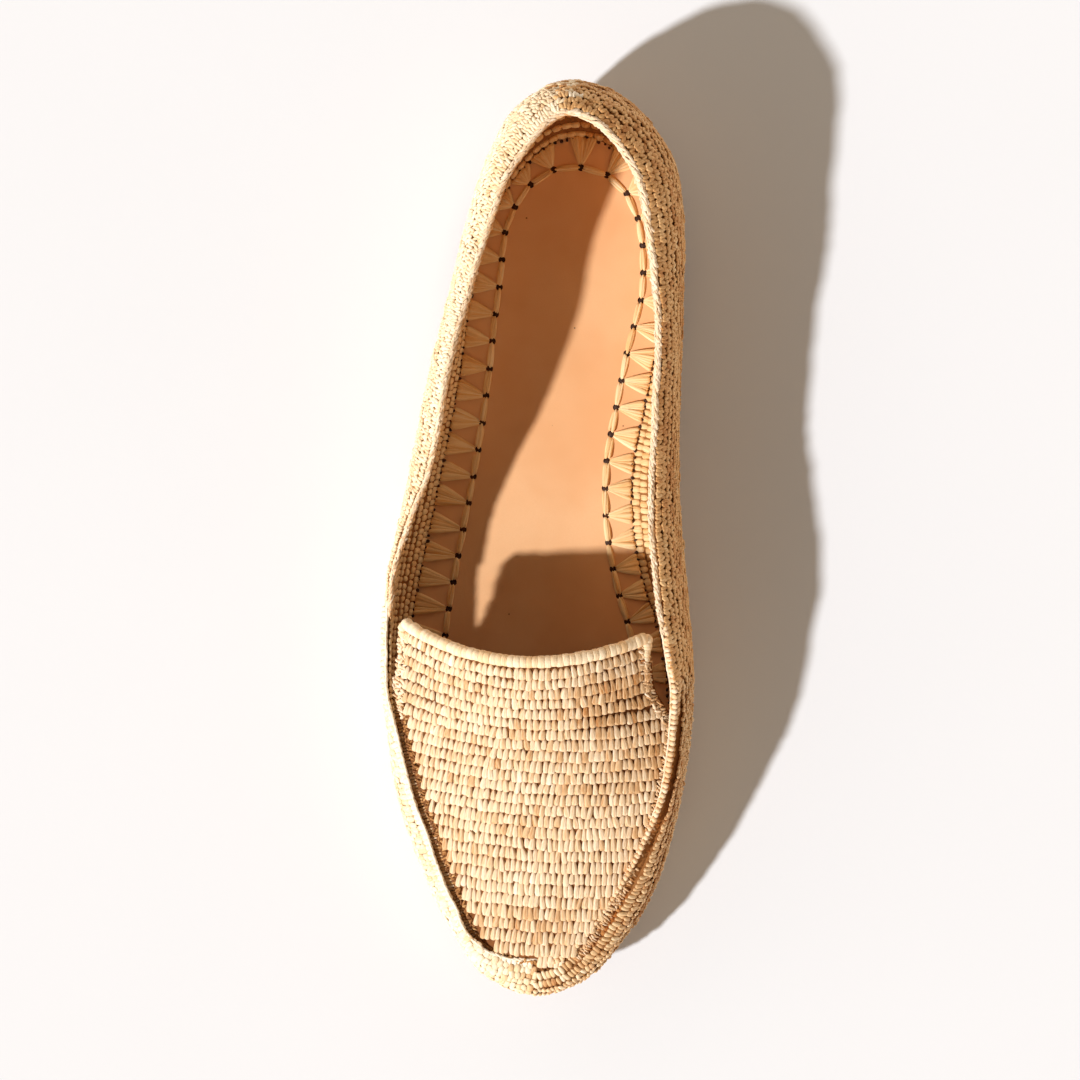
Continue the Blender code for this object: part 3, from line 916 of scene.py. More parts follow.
ridgeRows = {
    # in from the rim along the side and at the toe, up, pitch, across, along, high, tone: flat
    # stitches over the top on the little toe's side, and a row of beads on the big toe's side
    "lateral": [(0.1, 1.4, -0.05, 1.6, 1.9, 1.9, 0.8, 0.9), (-0.3, 0.3, -0.45, 1.6, 1.7, 2.1, 0.9, 0.9)],
    "medial": [(0.75, 1.6, 0.0, 1.55, 1.62, 1.9, 1.3, 0.72)],
    "lateralCord": (0.55, 2.4, 0.4, 1.5, 3.1, 0.85, 0.85, 0.98),
    "medialCord": (2.0, 3.0, 0.1, 1.5, 3.1, 0.85, 0.85, 0.98),
    "toeTurn": (2.86, 3.12),  # the turns over which a row reaches its inset at the toe
    "levelTurn": (3.33, 3.77),  # the turns over which the ridge's top stops being level
    "loose": {"shift": 0.05, "swing": 5.0, "vary": 0.07, "mottle": 0.5},
}
# the little toe's side takes the lit copy of the raffia, lighter with painted light
ridgeLooks = {
    "lateral": {**litSideLook, "pitShare": 0.35, "pitFrom": 0.88},
    "medial": {"pitShare": 0.5, "pitFrom": 0.88, "lowShare": 1.0, "pit": (186, 128, 70)},
}


def rimFrame(turns):
    # the middle of the collar's cord, its ways along, up and out, and how far it has died out
    top, along, up, outward = wallFrame(turns, np.full(len(turns), 2.0))
    fade = smooth(rimWraps["rollEnd"], rimWraps["rollEnd"] + rimWraps["rollFade"], heelY - top[:, 1])
    side = wobble(turns, 0) - lastShape["wall"] / 2
    middle = top + outward * side[:, None] + up * (rimWraps["above"] * (1 - fade))[:, None]
    return middle, along, up, outward, fade


def rimTurns(pitch):
    # turns at an even pitch along the rim
    fine = np.linspace(0, tau, 2401)[:-1]
    middle, *_ = rimFrame(fine)
    length = lengthAlong(ringed(middle))
    count = int(round(length[-1] / pitch))
    return np.interp((np.arange(count) + 0.5) / count * length[-1], length, np.append(fine, tau))


def makeCollarWraps():
    # oblique strands lie over the cord, each at its own place round it
    wraps = rimWraps
    batch = newBatch(31)
    turns = rimTurns(wraps["strandStep"])
    middle, along, up, outward, fade = rimFrame(turns)
    at = heelY - middle[:, 1]
    medial = turns > math.pi
    around = np.resize(wraps["around"], len(turns)) + batch["random"].normal(0, 8, len(turns))
    around = np.radians(around)[:, None]
    across = np.where(medial, listed(wraps["across"], at, 2), listed(wraps["across"], at, 1))[:, None]
    radial = outward * np.sin(around) * across + up * np.cos(around) * wraps["high"]
    outer = unit(outward * np.sin(around) / across + up * np.cos(around) / wraps["high"])
    slant = np.radians(wraps["slant"] * np.where(medial, 1, -1))[:, None]
    way = unit(along * np.cos(slant) + np.cross(outer, along) * np.sin(slant))
    mine = fade < 0.5
    # painted shade on the cord's inner side, on the little toe's side only
    tone = wraps["tone"] - wraps["innerShade"] * np.maximum(-np.sin(around[:, 0]), 0) * ~medial
    strands = [makeStitch("collarStrandA", 6, 5, 0.4, 0.1), makeStitch("collarStrandB", 6, 5, 0.45, -0.1)]
    addStitches(
        batch, (middle + radial * 0.82)[mine], unit(np.cross(way, outer))[mine], outer[mine],
        wraps["strand"], tone[mine], len(strands), **wraps["loose"],
    )
    finish = raffiaMaterial("collarRaffia", **collarLook)
    layStitches("collarWraps", batch, strands, finish, "wrapped_raffia", "collar_roll")


def ridgeFrame(turns):
    # the rim's place and ways, made level on the little toe's side and round the toe
    top, along, _, outward = wallFrame(turns, np.full(len(turns), 2.0))
    level = (1 - smooth(*ridgeRows["levelTurn"], turns))[:, None]
    outward = unit(outward * (1 - level) + flattened(outward) * level)
    return top, along, np.cross(outward, along), outward


def makeRidge(side, seed):
    # the ridge round the apron: its top, and a crisp cord of overlapping stitches inside it
    batch = newBatch(seed)
    strands = [makeStitch("ridgeStrandA", 7, 5, 0.45, 0.05), makeStitch("ridgeStrandB", 7, 5, 0.5, -0.05)]
    rows = [(*row, False) for row in ridgeRows[side]] + [(*ridgeRows[side + "Cord"], True)]
    for inset, toeInset, lift, pitch, width, long, high, tone, isCord in rows:
        turns = rimTurns(pitch)
        top, along, up, outward = ridgeFrame(turns)
        fromToe = np.where(turns > math.pi, tau - turns, turns)
        inset = inset + (toeInset - inset) * smooth(*ridgeRows["toeTurn"], fromToe)
        place = top + outward * (wobble(turns, 0) - inset)[:, None] + up * lift
        shown = (turns <= math.pi) == (side == "lateral")
        shown &= heelY - top[:, 1] > rimWraps["rollEnd"] + 4
        outer = unit(up + outward * 0.2)
        sideways = unit(np.cross(along, outer)) if isCord else along
        size = (high, width, high) if isCord else (width, long, high)
        addStitches(
            batch, place[shown], sideways[shown], outer[shown], size, tone, len(strands),
            **ridgeRows["loose"],
        )
    name = "sunnyRidge" if side == "lateral" else "ridgeRaffia"
    finish = raffiaMaterial(name, **ridgeLooks[side])
    layStitches("ridge" + side.capitalize(), batch, strands, finish, "woven_raffia")


apronWeave = {
    "rows": 28,
    "firstAt": 170.3,  # middle of the first row
    "firstPitch": 2.85,
    "lastPitch": 3.75,
    "lastRow": 25,  # the row that has the last pitch
    "bows": [(0, 8.5), (6, 5.2), (14, 2.4), (25, 0.2)],  # row, how far its middle lies forward
    "stitchWide": 1.86,
    "stitchNarrow": 1.56,
    "height": 1.35,
    "sink": 0.42,
    "lean": 0.27,  # the end towards the heel tucks in
    "overlap": 1.27,  # a stitch's length in row pitches
    "cover": 1.13,  # its width in stitch pitches
    "tone": 0.6,
    # from the seam to a row's first stitch, by place: little toe's side and big toe's side
    "edges": [
        (160, 3.2, 1.6), (170, 2.9, 1.8), (178, 5.0, 2.4), (186, 7.4, 3.4), (200, 8.0, 4.0),
        (212, 8.2, 4.0), (235, 7.4, 3.8), (250, 6.2, 3.6),
    ],
    # from the toe's seam to a stitch's middle, by column of the apron's grid
    "toeEdges": [(0, 5.8), (14, 7.0), (42, 6.6), (56, 5.0), (68, 2.6), (80, 1.6)],
    "paintedBackShade": 0.17,  # painted shade: how much deeper the colour is at the back on the big toe's side
    "loose": {"shift": 0.08, "swing": 6.5, "vary": 0.09, "mottle": 0.55},
}
# its dark pit colour is painted shade at the heelward ends and sides of the stitches
apronLook = {
    "deep": (184, 124, 64), "shade": (222, 182, 134), "straw": (238, 212, 178), "pale": (250, 236, 214),
    "pit": (108, 58, 18), "pitFrom": 0.55, "lowShare": 0.0, "pitShare": 1.0, "pitSides": 0.72,
    "streak": 1.25, "fibres": 11.0, "fibreBump": 0.00028,
}
apronSteps = (70, 81)


def wallSeam(turns):
    # the middle of the wall, a ridge's height below its rim
    place, _, _, outward = wallFrame(turns, atTurns(turns, riseAtDepth(lastShape["ridge"])))
    return place - outward * lastShape["wall"] / 2


def turnAt(at):
    rows = lastShape["rim"]
    return math.acos(1 - 2 * (at - rows[0][0]) / (rows[-1][0] - rows[0][0]))


def makeApronGrid():
    # places and normals of the apron's face, from the throat to its round front seam
    across = np.linspace(0, 1, apronSteps[1])
    ats = np.linspace(lastShape["throatAt"], lastShape["lastRowAt"], apronSteps[0])
    back = np.linspace(0.45 * math.pi, math.pi, 240)
    sides = []
    for turns, inward, (inset, lift) in zip((back, tau - back), (1, -1), lastShape["freeEdges"]):
        seam = wallSeam(turns)
        side = pointsAt(ats, heelY - seam[:, 1], seam)
        side[:, 0] += inward * inset[0] * (1 - smooth(inset[1], inset[2], ats))
        side[:, 2] += lift[0] * (1 - smooth(lift[1], lift[2], ats))
        sides.append(side)
    share = across[None, :, None]
    grid = sides[0][:, None] * (1 - share) + sides[1][:, None] * share
    arch = 1 - (2 * across - 1) ** 2
    grid[:, :, 2] += column("apron", 1, ats)[:, None] * arch
    grid[:, :, 1] -= column("apron", 2, ats)[:, None] * arch
    first = turnAt(lastShape["toeSeamAt"])
    front = wallSeam(first + (tau - 2 * first) * across)
    joins = [grid[-1] + (front - grid[-1]) * step for step in (0.34, 0.67, 1)]
    grid = np.concatenate([grid, joins])
    outward = unit(np.cross(np.gradient(grid, axis=1), -np.gradient(grid, axis=0)))
    outward *= np.sign(outward[:, :, 2:])
    return grid, outward


apronGrid, apronOutward = makeApronGrid()


def onApron(rows, columns):
    # places and normals at fractional rows and columns of the apron's grid
    rows = np.clip(rows, 0, len(apronGrid) - 1.001)
    columns = np.clip(columns, 0, apronSteps[1] - 1.001)
    i, j = rows.astype(int), columns.astype(int)
    s, t = (rows - i)[:, None], (columns - j)[:, None]

    def read(table):
        near = table[i, j] * (1 - t) + table[i, j + 1] * t
        far = table[i + 1, j] * (1 - t) + table[i + 1, j + 1] * t
        return near * (1 - s) + far * s

    return read(apronGrid), unit(read(apronOutward))


def apronRowLine(row):
    # the columns that a row of stitches crosses, and its fractional grid rows there
    weave = apronWeave
    middle = weave["firstAt"] + weave["firstPitch"] * row
    middle += (weave["lastPitch"] - weave["firstPitch"]) * row * row / (2 * weave["lastRow"])
    bow = through(*np.transpose(weave["bows"]), row)
    across = np.linspace(-1, 1, apronSteps[1])
    wanted = middle - bow * across ** 2
    columns = np.arange(apronSteps[1])
    at = heelY - apronGrid[:, :, 1]
    lines = np.array([np.interp(wanted[j], at[:, j], np.arange(len(at))) for j in columns])
    shown = (wanted <= at[-1]) & (wanted >= at[0])
    return columns[shown].astype(float), lines[shown]


def makeApronStitches():
    weave = apronWeave
    stitches = [
        makeStitch("apronStitchA", 10, 6, 0.46, 0.40),
        makeStitch("apronStitchB", 9, 6, 0.42, 0.46),
        makeStitch("apronStitchC", 10, 6, 0.50, 0.34),
    ]
    batch = newBatch(41)
    for row in range(weave["rows"]):
        columns, lines = apronRowLine(row)
        if len(columns) < 4:
            continue
        place, outward = onApron(lines, columns)
        length = lengthAlong(place)
        start = listed(weave["edges"], heelY - place[0, 1], 1)
        end = length[-1] - listed(weave["edges"], heelY - place[-1, 1], 2)
        if end - start < 3:
            continue
        forward = row / weave["lastRow"]
        pitch = weave["stitchWide"] + (weave["stitchNarrow"] - weave["stitchWide"]) * forward
        count = int(round((end - start) / pitch))
        spots = start + (np.arange(count) + 0.5) * (end - start) / count
        spots = spots + batch["random"].normal(0, 0.10, count)
        spotColumns = np.interp(spots, length, columns)
        place, outward = onApron(np.interp(spots, length, lines), spotColumns)
        along = unit(np.gradient(place, axis=0))
        along = unit(along - outward * np.sum(along * outward, axis=1, keepdims=True))
        heelward = np.cross(outward, along)
        slow = 0.14 * np.sin(spots * 0.21 + row * 1.3) + 0.1 * np.sin(spots * 0.083 + row * 0.4)
        rowPitch = weave["firstPitch"] + (weave["lastPitch"] - weave["firstPitch"]) * forward
        place = place - outward * (weave["sink"] - slow * 0.6)[:, None] + heelward * slow[:, None]
        tone = weave["tone"] + 0.06 * np.sin(spots * 0.11 + row * 0.9) + batch["random"].normal(0, 0.03)
        # painted shade at the back on the big toe's side, where the apron falls away from the light
        tone -= weave["paintedBackShade"] * smooth(36, 72, spotColumns) * (1 - smooth(5, 14, row))
        toSeam = np.linalg.norm(place[:, None] - apronGrid[-1][None], axis=2)
        keep = toSeam.min(axis=1) > listed(weave["toeEdges"], toSeam.argmin(axis=1))
        addStitches(
            batch, place[keep], along[keep], unit(outward + heelward * weave["lean"])[keep],
            (pitch * weave["cover"], rowPitch * weave["overlap"], weave["height"]), tone[keep],
            len(stitches), **weave["loose"],
        )
    finish = raffiaMaterial("apronRaffia", **apronLook)
    layStitches("apronStitches", batch, stitches, finish, "woven_raffia")


apronEdges = {
    # loose fine stitches along the free edge on the little toe's side: in from it, from and to
    # which distance along it
    "selvedgeRows": (
        (0.3, 0, 21), (1.1, 0, 20), (1.9, 0, 20), (2.7, 0, 21), (3.5, 0, 23), (4.4, 15, 25), (5.3, 18, 27),
    ),
    "selvedgePitch": 1.0,
    "selvedgeSize": (0.95, 1.9, 0.95),
    "selvedgeSink": 0.15,
    "selvedgeTone": 0.86,
    "selvedgeLoose": {"shift": 0.2, "swing": 32.0, "vary": 0.16, "mottle": 0.8},
    # tufts of loose ends along the big toe's side: in from the seam, tone
    "tuftRows": ((1.4, 0.66), (2.4, 0.6), (3.3, 0.66)),
    "tuftPitch": 0.9,
    "tuftLong": 2.3,
    "tuftWide": 0.75,
    "tuftHigh": 0.8,
    "tuftLoose": {"shift": 0.12, "swing": 12.0, "vary": 0.08},
    # the trough's strands are darkened with painted shade, as if in the ridge's shadow
    # the trough behind the ridge: a ladder of smooth strands and rough ones inside it, each with
    # places and distances in from the seam, tone, strand, sink and swing
    "troughFrom": 176.0,
    "troughPitch": 0.95,
    "strands": {"smooth": (1.0, 3.3, 0.8), "rough": (0.75, 1.7, 0.8)},
    "troughRows": [
        ([(178, 2.6), (188, 2.8), (205, 3.7), (218, 4.3), (235, 4), (250, 3.4)], 0.7, "smooth", 0.7, 6.0),
        ([(178, 3.8), (188, 5.2), (205, 5.9), (235, 5.6), (250, 4.8)], 0.0, "rough", 0.75, 36.0),
        ([(178, 4.4), (188, 6.0), (205, 6.7), (235, 6.3), (250, 5.4)], 0.15, "rough", 0.7, 38.0),
        ([(178, 5.0), (188, 6.8), (205, 7.4), (235, 7.0), (250, 6.0)], 0.35, "rough", 0.6, 38.0),
    ],
    # the trough round the toe: in from the seam, the last column of the apron's grid, tone
    "toeRows": [
        (2.0, 58, 0.2), (2.7, 58, 0.1), (3.4, 58, 0.0), (4.1, 56, 0.1), (4.8, 54, 0.2), (5.5, 52, 0.3),
        (6.2, 50, 0.5),
    ],
    "toeSink": 0.6,
    "toeLoose": {"shift": 0.2, "swing": 38.0, "vary": 0.12},
}
edgeLook = {"pit": (150, 86, 30), "pitShare": 0.7, "deep": (190, 118, 50)}
# painted shade: darker colours for the strands in the trough behind the ridge and round the toe
troughShadeLook = {
    "pit": (84, 46, 16), "pitShare": 0.8,
    "deep": (130, 80, 36), "shade": (180, 126, 68), "straw": (220, 176, 118),
}


def sideEdge(insets, fromMedial=False):
    # a line inside the apron's seam, from places and distances, with its normals and ways inward
    lines, normals, ways = [], [], []
    columns = np.arange(apronSteps[1], dtype=float)
    for row in np.arange(0, len(apronGrid) - 1, 0.5):
        place, outward = onApron(np.full(len(columns), row), columns)
        if fromMedial:
            place, outward = place[::-1], outward[::-1]
        length = lengthAlong(place)
        inset = min(listed(insets, heelY - place[0, 1]), length[-1] / 2)
        lines.append(pointsAt(inset, length, place))
        normals.append(pointsAt(inset, length, outward))
        ways.append(unit(place[3] - place[0]))
    return np.array(lines), unit(np.array(normals)), np.array(ways)


def toeEdge(inset, last):
    # a line inside the toe's seam, from the little toe's side to a column, with its normals
    lines, normals = [], []
    rows = np.linspace(len(apronGrid) - 1, len(apronGrid) - 24, 90)
    for column in range(0, last + 1, 2):
        place, outward = onApron(rows, np.full(len(rows), float(column)))
        length = lengthAlong(place)
        lines.append(pointsAt(inset, length, place))
        normals.append(pointsAt(inset, length, outward))
    return np.array(lines), unit(np.array(normals))


def spaced(pitch, line, outward, *others):
    # spots at an even pitch along a line: their distances, places, ways forward, normals and others
    length = lengthAlong(line)
    spots = np.arange(pitch / 2, length[-1], pitch)
    place = pointsAt(spots, length, line)
    forward = unit(np.gradient(place, axis=0))
    others = [pointsAt(spots, length, table) for table in others]
    return spots, place, forward, unit(pointsAt(spots, length, outward)), *others


def makeApronEdges():
    size = apronEdges
    stitches = [makeStitch("edgeStitchA", 7, 6, 0.4, 0.1), makeStitch("edgeStitchB", 7, 6, 0.2, 0.3)]
    batch, troughs = newBatch(45), newBatch(46)
    random = batch["random"]
    for inset, start, end in size["selvedgeRows"]:
        line, normals, _ = sideEdge([(0, inset)])
        spots, place, forward, outward = spaced(size["selvedgePitch"], line, normals)
        keep = (spots > start) & (spots < end)
        addStitches(
            batch, (place - outward * size["selvedgeSink"])[keep], forward[keep], outward[keep],
            size["selvedgeSize"], size["selvedgeTone"], len(stitches), **size["selvedgeLoose"],
        )
    for path, tone, strand, sink, swing in size["troughRows"]:
        line, normals, _ = sideEdge(path)
        _, place, forward, outward = spaced(size["troughPitch"], line, normals)
        keep = heelY - place[:, 1] > size["troughFrom"] + swing / 6
        addStitches(
            troughs, (place - outward * sink)[keep], forward[keep], outward[keep],
            size["strands"][strand], tone, len(stitches), shift=swing / 180, swing=swing, vary=0.12,
        )
    for inset, last, tone in size["toeRows"]:
        _, place, forward, outward = spaced(size["troughPitch"], *toeEdge(inset, last))
        addStitches(
            troughs, place - outward * size["toeSink"], forward, outward, size["strands"]["rough"],
            tone, len(stitches), **size["toeLoose"],
        )
    for inset, tone in size["tuftRows"]:
        _, place, forward, outward, way = spaced(size["tuftPitch"], *sideEdge([(0, inset)], True))
        count = len(place)
        angle = np.radians(random.normal(35, 24, count))[:, None]
        across = unit(forward * np.cos(angle) + way * np.sin(angle))
        sizes = np.stack([
            size["tuftWide"] * random.uniform(0.7, 1.2, count),
            size["tuftLong"] * random.uniform(0.6, 1.15, count),
            np.full(count, size["tuftHigh"]),
        ], -1)
        rise = random.uniform(-0.35, 0.25, count)[:, None]
        addStitches(
            batch, place + outward * rise, across, outward, sizes, tone + random.normal(0, 0.12, count),
            len(stitches), **size["tuftLoose"],
        )
    copies = [shape.copy() for shape in stitches]
    finish = raffiaMaterial("edgeRaffia", **edgeLook)
    layStitches("apronEdges", batch, stitches, finish, "woven_raffia")
    finish = raffiaMaterial("troughRaffia", **troughShadeLook)
    layStitches("apronTrough", troughs, copies, finish, "woven_raffia")


coreApron = {
    "depth": 0.75,
    "thick": 0.6,
    "columns": 64,
    "rows": 60,
    "ground": {"dark": (88, 46, 18), "light": (152, 96, 46)},
}


def makeApronCore():
    # the raffia under the apron's stitches, dark partly by its own colour and partly with painted shade in
    # the gaps
    size = coreApron
    finish = groundMaterial("apronGround", **size["ground"])
    bm = bmesh.new()
    bmesh.ops.create_grid(bm, x_segments=size["columns"], y_segments=size["rows"], size=1)
    spots = (np.array([vert.co[:2] for vert in bm.verts]) + 1) / 2
    place, outward = onApron(spots[:, 1] * (len(apronGrid) - 1), spots[:, 0] * (apronSteps[1] - 1))
    place = place - outward * size["depth"]
    for vert, point in zip(bm.verts, place):
        vert.co = point * mm
    piece = newPiece("apronCore", bm, finish, "woven_raffia")
    if piece.data.polygons[0].normal.z < 0:
        piece.data.flip_normals()
    thicken(piece, size["thick"])


throatRoll = {
    "thick": 3.6,
    "back": 2.0,
    "inset": (0.030, 0.02),
    "pitch": 1.75,
    "overlap": 1.4,
    "tone": 0.86,
    "loose": {"shift": 0.05, "swing": 3.0, "vary": 0.035},
    # tails that turn the corner down the apron's edge: across, forward, thickness
    "lateralTail": [(0.012, 0.4, 3.2), (0.014, 1.9, 2.4), (0.020, 3.4, 1.5)],
    "medialTail": [(0.984, 1.6, 3.0), (0.980, 3.8, 2.2), (0.972, 6.0, 1.3)],
}
throatLook = {
    "pit": (176, 112, 52), "pitShare": 0.45, "pitFrom": 0.84, "lowShare": 1.0,
    "shade": (226, 180, 126), "straw": (244, 210, 164), "pale": (252, 232, 200),
}


def throatPath():
    # the roll's middle line from the little toe's side to the big toe's, and its thickness there
    size = throatRoll
    points, thick = [], []
    at = heelY - apronGrid[:, :, 1]

    def edgePoint(across, forward):
        column = across * (apronSteps[1] - 1)
        j = int(column)
        line = np.interp(at[0, j] + forward, at[:, j], np.arange(len(at)))
        place, outward = onApron(np.array([line]), np.array([column]))
        return place[0], outward[0]

    def addTail(tail):
        for across, forward, wide in tail:
            place, outward = edgePoint(across, forward)
            points.append(place - outward * (lastShape["wall"] / 4))
            thick.append(wide)

    addTail(reversed(size["lateralTail"]))
    for across in np.linspace(size["inset"][0], 1 - size["inset"][1], 41):
        place, _ = edgePoint(across, 0.0)
        points.append(place + np.array([0, size["back"], -lastShape["wall"] / 4]))
        thick.append(size["thick"])
    addTail(size["medialTail"])
    return np.array(points), np.array(thick)


def makeThroatRoll():
    size = throatRoll
    points, thick = throatPath()
    length = lengthAlong(points)
    fine = np.linspace(0, length[-1], 600)
    curve = np.stack([through(length, values, fine) for values in points.T], -1)
    length = lengthAlong(curve)
    count = int(round(length[-1] / size["pitch"]))
    spots = (np.arange(count) + 0.5) / count * length[-1]
    place = pointsAt(spots, length, curve)
    wide = np.interp(spots, length, np.interp(fine, np.linspace(0, fine[-1], len(thick)), thick))
    direction = unit(np.gradient(place, axis=0))
    upward = np.tile([0.0, 0.0, 1.0], (count, 1))
    sideways = unit(np.cross(direction, upward))
    upward = np.cross(sideways, direction)
    batch = newBatch(51)
    sizes = np.stack([wide, np.full(count, size["pitch"] * size["overlap"]), wide], -1)
    addStitches(batch, place, sideways, upward, sizes, size["tone"], **size["loose"])
    finish = raffiaMaterial("throatRaffia", streaks="round", **throatLook)
    stitches = [makeStitch("throatWrap", 16, 8, 0.8)]
    layStitches("throatWraps", batch, stitches, finish, "wrapped_raffia", "throat_roll")


def planWidth(index, at, grow):
    # the half width of the foot's plan on one side, with the whole plan grown by a margin
    rows = lastShape["foot"]
    first, last = rows[0][0] - grow, rows[-1][0] + grow
    inner = rows[0][0] + (at - first) / (last - first) * (rows[-1][0] - rows[0][0])
    width = halfWidth("foot", index, inner)
    return width + grow * np.minimum(width / lastShape["endRounding"], 1)


plateCorner = 50  # edges sharper than this, in degrees, are eased


def makePlate(grow, bottom, thickness, ease, steps=(44, 130), segments=3):
    # a closed plate of the foot's plan; bottom gives its underside's height at a place
    bm = bmesh.new()
    bmesh.ops.create_grid(bm, x_segments=steps[0], y_segments=steps[1], size=1)
    spots = np.array([vert.co[:2] for vert in bm.verts])
    u, v = spots.T
    # a square's grid pressed into a round one, so that no end is pinched
    wide, long = u * np.sqrt(1 - v * v / 2), v * np.sqrt(1 - u * u / 2)
    first, last = lastShape["foot"][0][0] - grow, lastShape["foot"][-1][0] + grow
    at = first + (1 + long) / 2 * (last - first)
    reach = wide / np.sqrt(np.maximum(1 - long * long, 1e-6))
    x = axisX + np.where(reach < 0, reach * planWidth(1, at, grow), reach * planWidth(2, at, grow))
    for vert, px, pat in zip(bm.verts, x, at):
        vert.co = Vector((px, heelY - pat, bottom(pat) + thickness)) * mm
    lower = bmesh.ops.extrude_face_region(bm, geom=bm.faces[:])["geom"]
    lowerVerts = [item for item in lower if isinstance(item, bmesh.types.BMVert)]
    bmesh.ops.translate(bm, verts=lowerVerts, vec=(0, 0, -thickness * mm))
    bmesh.ops.recalc_face_normals(bm, faces=bm.faces)
    edges = [edge for edge in bm.edges if edge.calc_face_angle(0) > math.radians(plateCorner)]
    bmesh.ops.bevel(
        bm, geom=edges, offset=ease * mm, offset_type="OFFSET", segments=segments, profile=0.5,
        affect="EDGES", material=-1,
    )
    return bm


insoleLook = {
    "tan": (240, 191, 142),
    "deep": (231, 174, 122),
    "speck": (120, 70, 40),
    "roughness": 0.5,
}


def insoleMaterial():
    look = insoleLook
    made, tree, shader = newMaterial("insoleLeather", look["roughness"], 0.45)
    at = objectPlace(tree)
    cloud = noiseNode(tree, at, 28.0, 3.0, 0.55)
    grain = noiseNode(tree, at, 2600.0, 2.0, 0.6)
    shade = mixNode(tree, rangeNode(tree, cloud, 0.35, 0.7), colour(*look["tan"]), colour(*look["deep"]))
    shade = mixNode(tree, rangeNode(tree, grain, 0.3, 0.8, 0.0, 0.28), shade, colour(*look["deep"]))
    # a speck in one cell out of ten
    specks = addNode(tree, "ShaderNodeTexVoronoi", {"Vector": at, "Scale": 190.0, "Randomness": 1.0})
    dots = rangeNode(tree, specks.outputs["Distance"], 0.03, 0.07, 1.0, 0.0)
    chance = addNode(tree, "ShaderNodeSeparateColor", {0: specks.outputs["Color"]}).outputs[0]
    few = mathNode(tree, "GREATER_THAN", chance, 0.9)
    shade = mixNode(tree, mathNode(tree, "MULTIPLY", dots, few), shade, colour(*look["speck"]))
    tree.links.new(shade, shader.inputs["Base Color"])
    addBump(tree, shader, grain, 0.00004, 0.6)
    return made


soleLook = {"edge": (120, 74, 40), "face": (176, 122, 74), "scuff": (140, 96, 60)}


def soleMaterial(name, **changes):
    look = {**soleLook, **changes}
    made, tree, shader = newMaterial(name, 0.55)
    at = objectPlace(tree)
    cloud = noiseNode(tree, at, 45.0, 4.0, 0.6)
    grain = noiseNode(tree, at, 1800.0, 2.0, 0.5)
    # scratches run lengthways, a little askew
    stretched = addNode(tree, "ShaderNodeMapping", {
        "Vector": at, "Scale": (260.0, 22.0, 260.0), "Rotation": (0, 0, 0.12),
    })
    scratch = noiseNode(tree, stretched.outputs[0], 1.0, 2.0, 0.7)
    shade = mixNode(tree, rangeNode(tree, cloud, 0.35, 0.7), colour(*look["face"]), colour(*look["scuff"]))
    shade = mixNode(tree, rangeNode(tree, scratch, 0.62, 0.74, 0.0, 0.5), shade, colour(*look["scuff"]))
    normal = splitNode(tree, addNode(tree, "ShaderNodeNewGeometry").outputs["Normal"])
    onEdge = rangeNode(tree, mathNode(tree, "ABSOLUTE", normal[2]), 0.75, 0.4)
    shade = mixNode(tree, onEdge, shade, colour(*look["edge"]))
    tree.links.new(shade, shader.inputs["Base Color"])
    addBump(tree, shader, mathNode(tree, "ADD", grain, scratch), 0.00006)
    return made


lacing = {
    "boardInset": 1.6,  # the insole's edge lies this far inside the foot's outline, under the lining
    # from the foot's outline to the line of holes: place, little toe's side, big toe's side
    "insets": [
        (10, 13.1, 13.1), (16, 11.0, 11.3), (23, 9.3, 9.6), (30, 9.1, 8.9), (40, 9.7, 8.8), (50, 11.4, 8.8),
        (60, 12.6, 9.0), (74, 12.6, 10.2), (90, 12.9, 9.9), (100, 13.3, 9.8), (172, 13.3, 9.8),
    ],
    "pitch": 8.0,
    "hole": 2.1,
    "lastAt": 172.0,
    # a running stitch's strands: how far to the side, how high up, and length
    "barStrands": ((-0.42, 0.16, 1.0), (0.0, 0.3, 1.06), (0.42, 0.16, 1.0)),
    "barWide": 1.15,
    "barHigh": 0.8,
    "barShort": 1.3,  # how much shorter it is than the way between its holes
    "barTone": 0.7,
    "barLoose": {"shift": 0.07, "swing": 2.2, "vary": 0.07},
    "fanWide": 1.35,
    "fanHigh": 0.75,
    "fanStrands": (7, 9),
    "fanSpread": 2.8,
    "fanSpreadHeel": 0.9,  # wider round the heel
    "fanClimb": 0.7,
    "fanTone": 0.65,
    "fanLoose": {"shift": 0.03, "swing": 0.6, "vary": 0.04},
}
lacingLook = {
    "deep": (202, 136, 70), "shade": (230, 180, 116), "straw": (244, 208, 154), "pale": (252, 230, 190),
    "pit": (140, 80, 34), "pitShare": 0.4, "pitFrom": 0.9, "lowShare": 1.0, "fibres": 8.0,
}
footTurns = np.linspace(0, tau, 1600, endpoint=False)
straightUp = np.array([0.0, 0.0, 1.0])


def lacingHoles():
    # holes at an even pitch from the throat round the heel to the throat, lateral side first, with
    # the ways in and along there and how far in from the foot's outline they are
    outline, inward, along, at, isLateral = footOutline(footTurns)
    inset = np.where(isLateral, listed(lacing["insets"], at, 1), listed(lacing["insets"], at, 2))
    line = outline + inward * inset[:, None]
    order = np.flatnonzero(heelY - line[:, 1] < lacing["lastAt"])
    gap = np.flatnonzero(np.diff(order) > 1)
    if len(gap):
        order = np.concatenate([order[gap[0] + 1:], order[:gap[0] + 1]])
    table = np.column_stack([line, inward, along, inset])[order]
    length = lengthAlong(table[:, :2])
    count = int(round(length[-1] / lacing["pitch"]))
    table = pointsAt(np.linspace(0, length[-1], count + 1), length, table)
    return table[:, :2], unit(table[:, 2:4]), unit(table[:, 4:6]), table[:, 6]


holePlaces, holeInward, holeAlong, holeInset = lacingHoles()


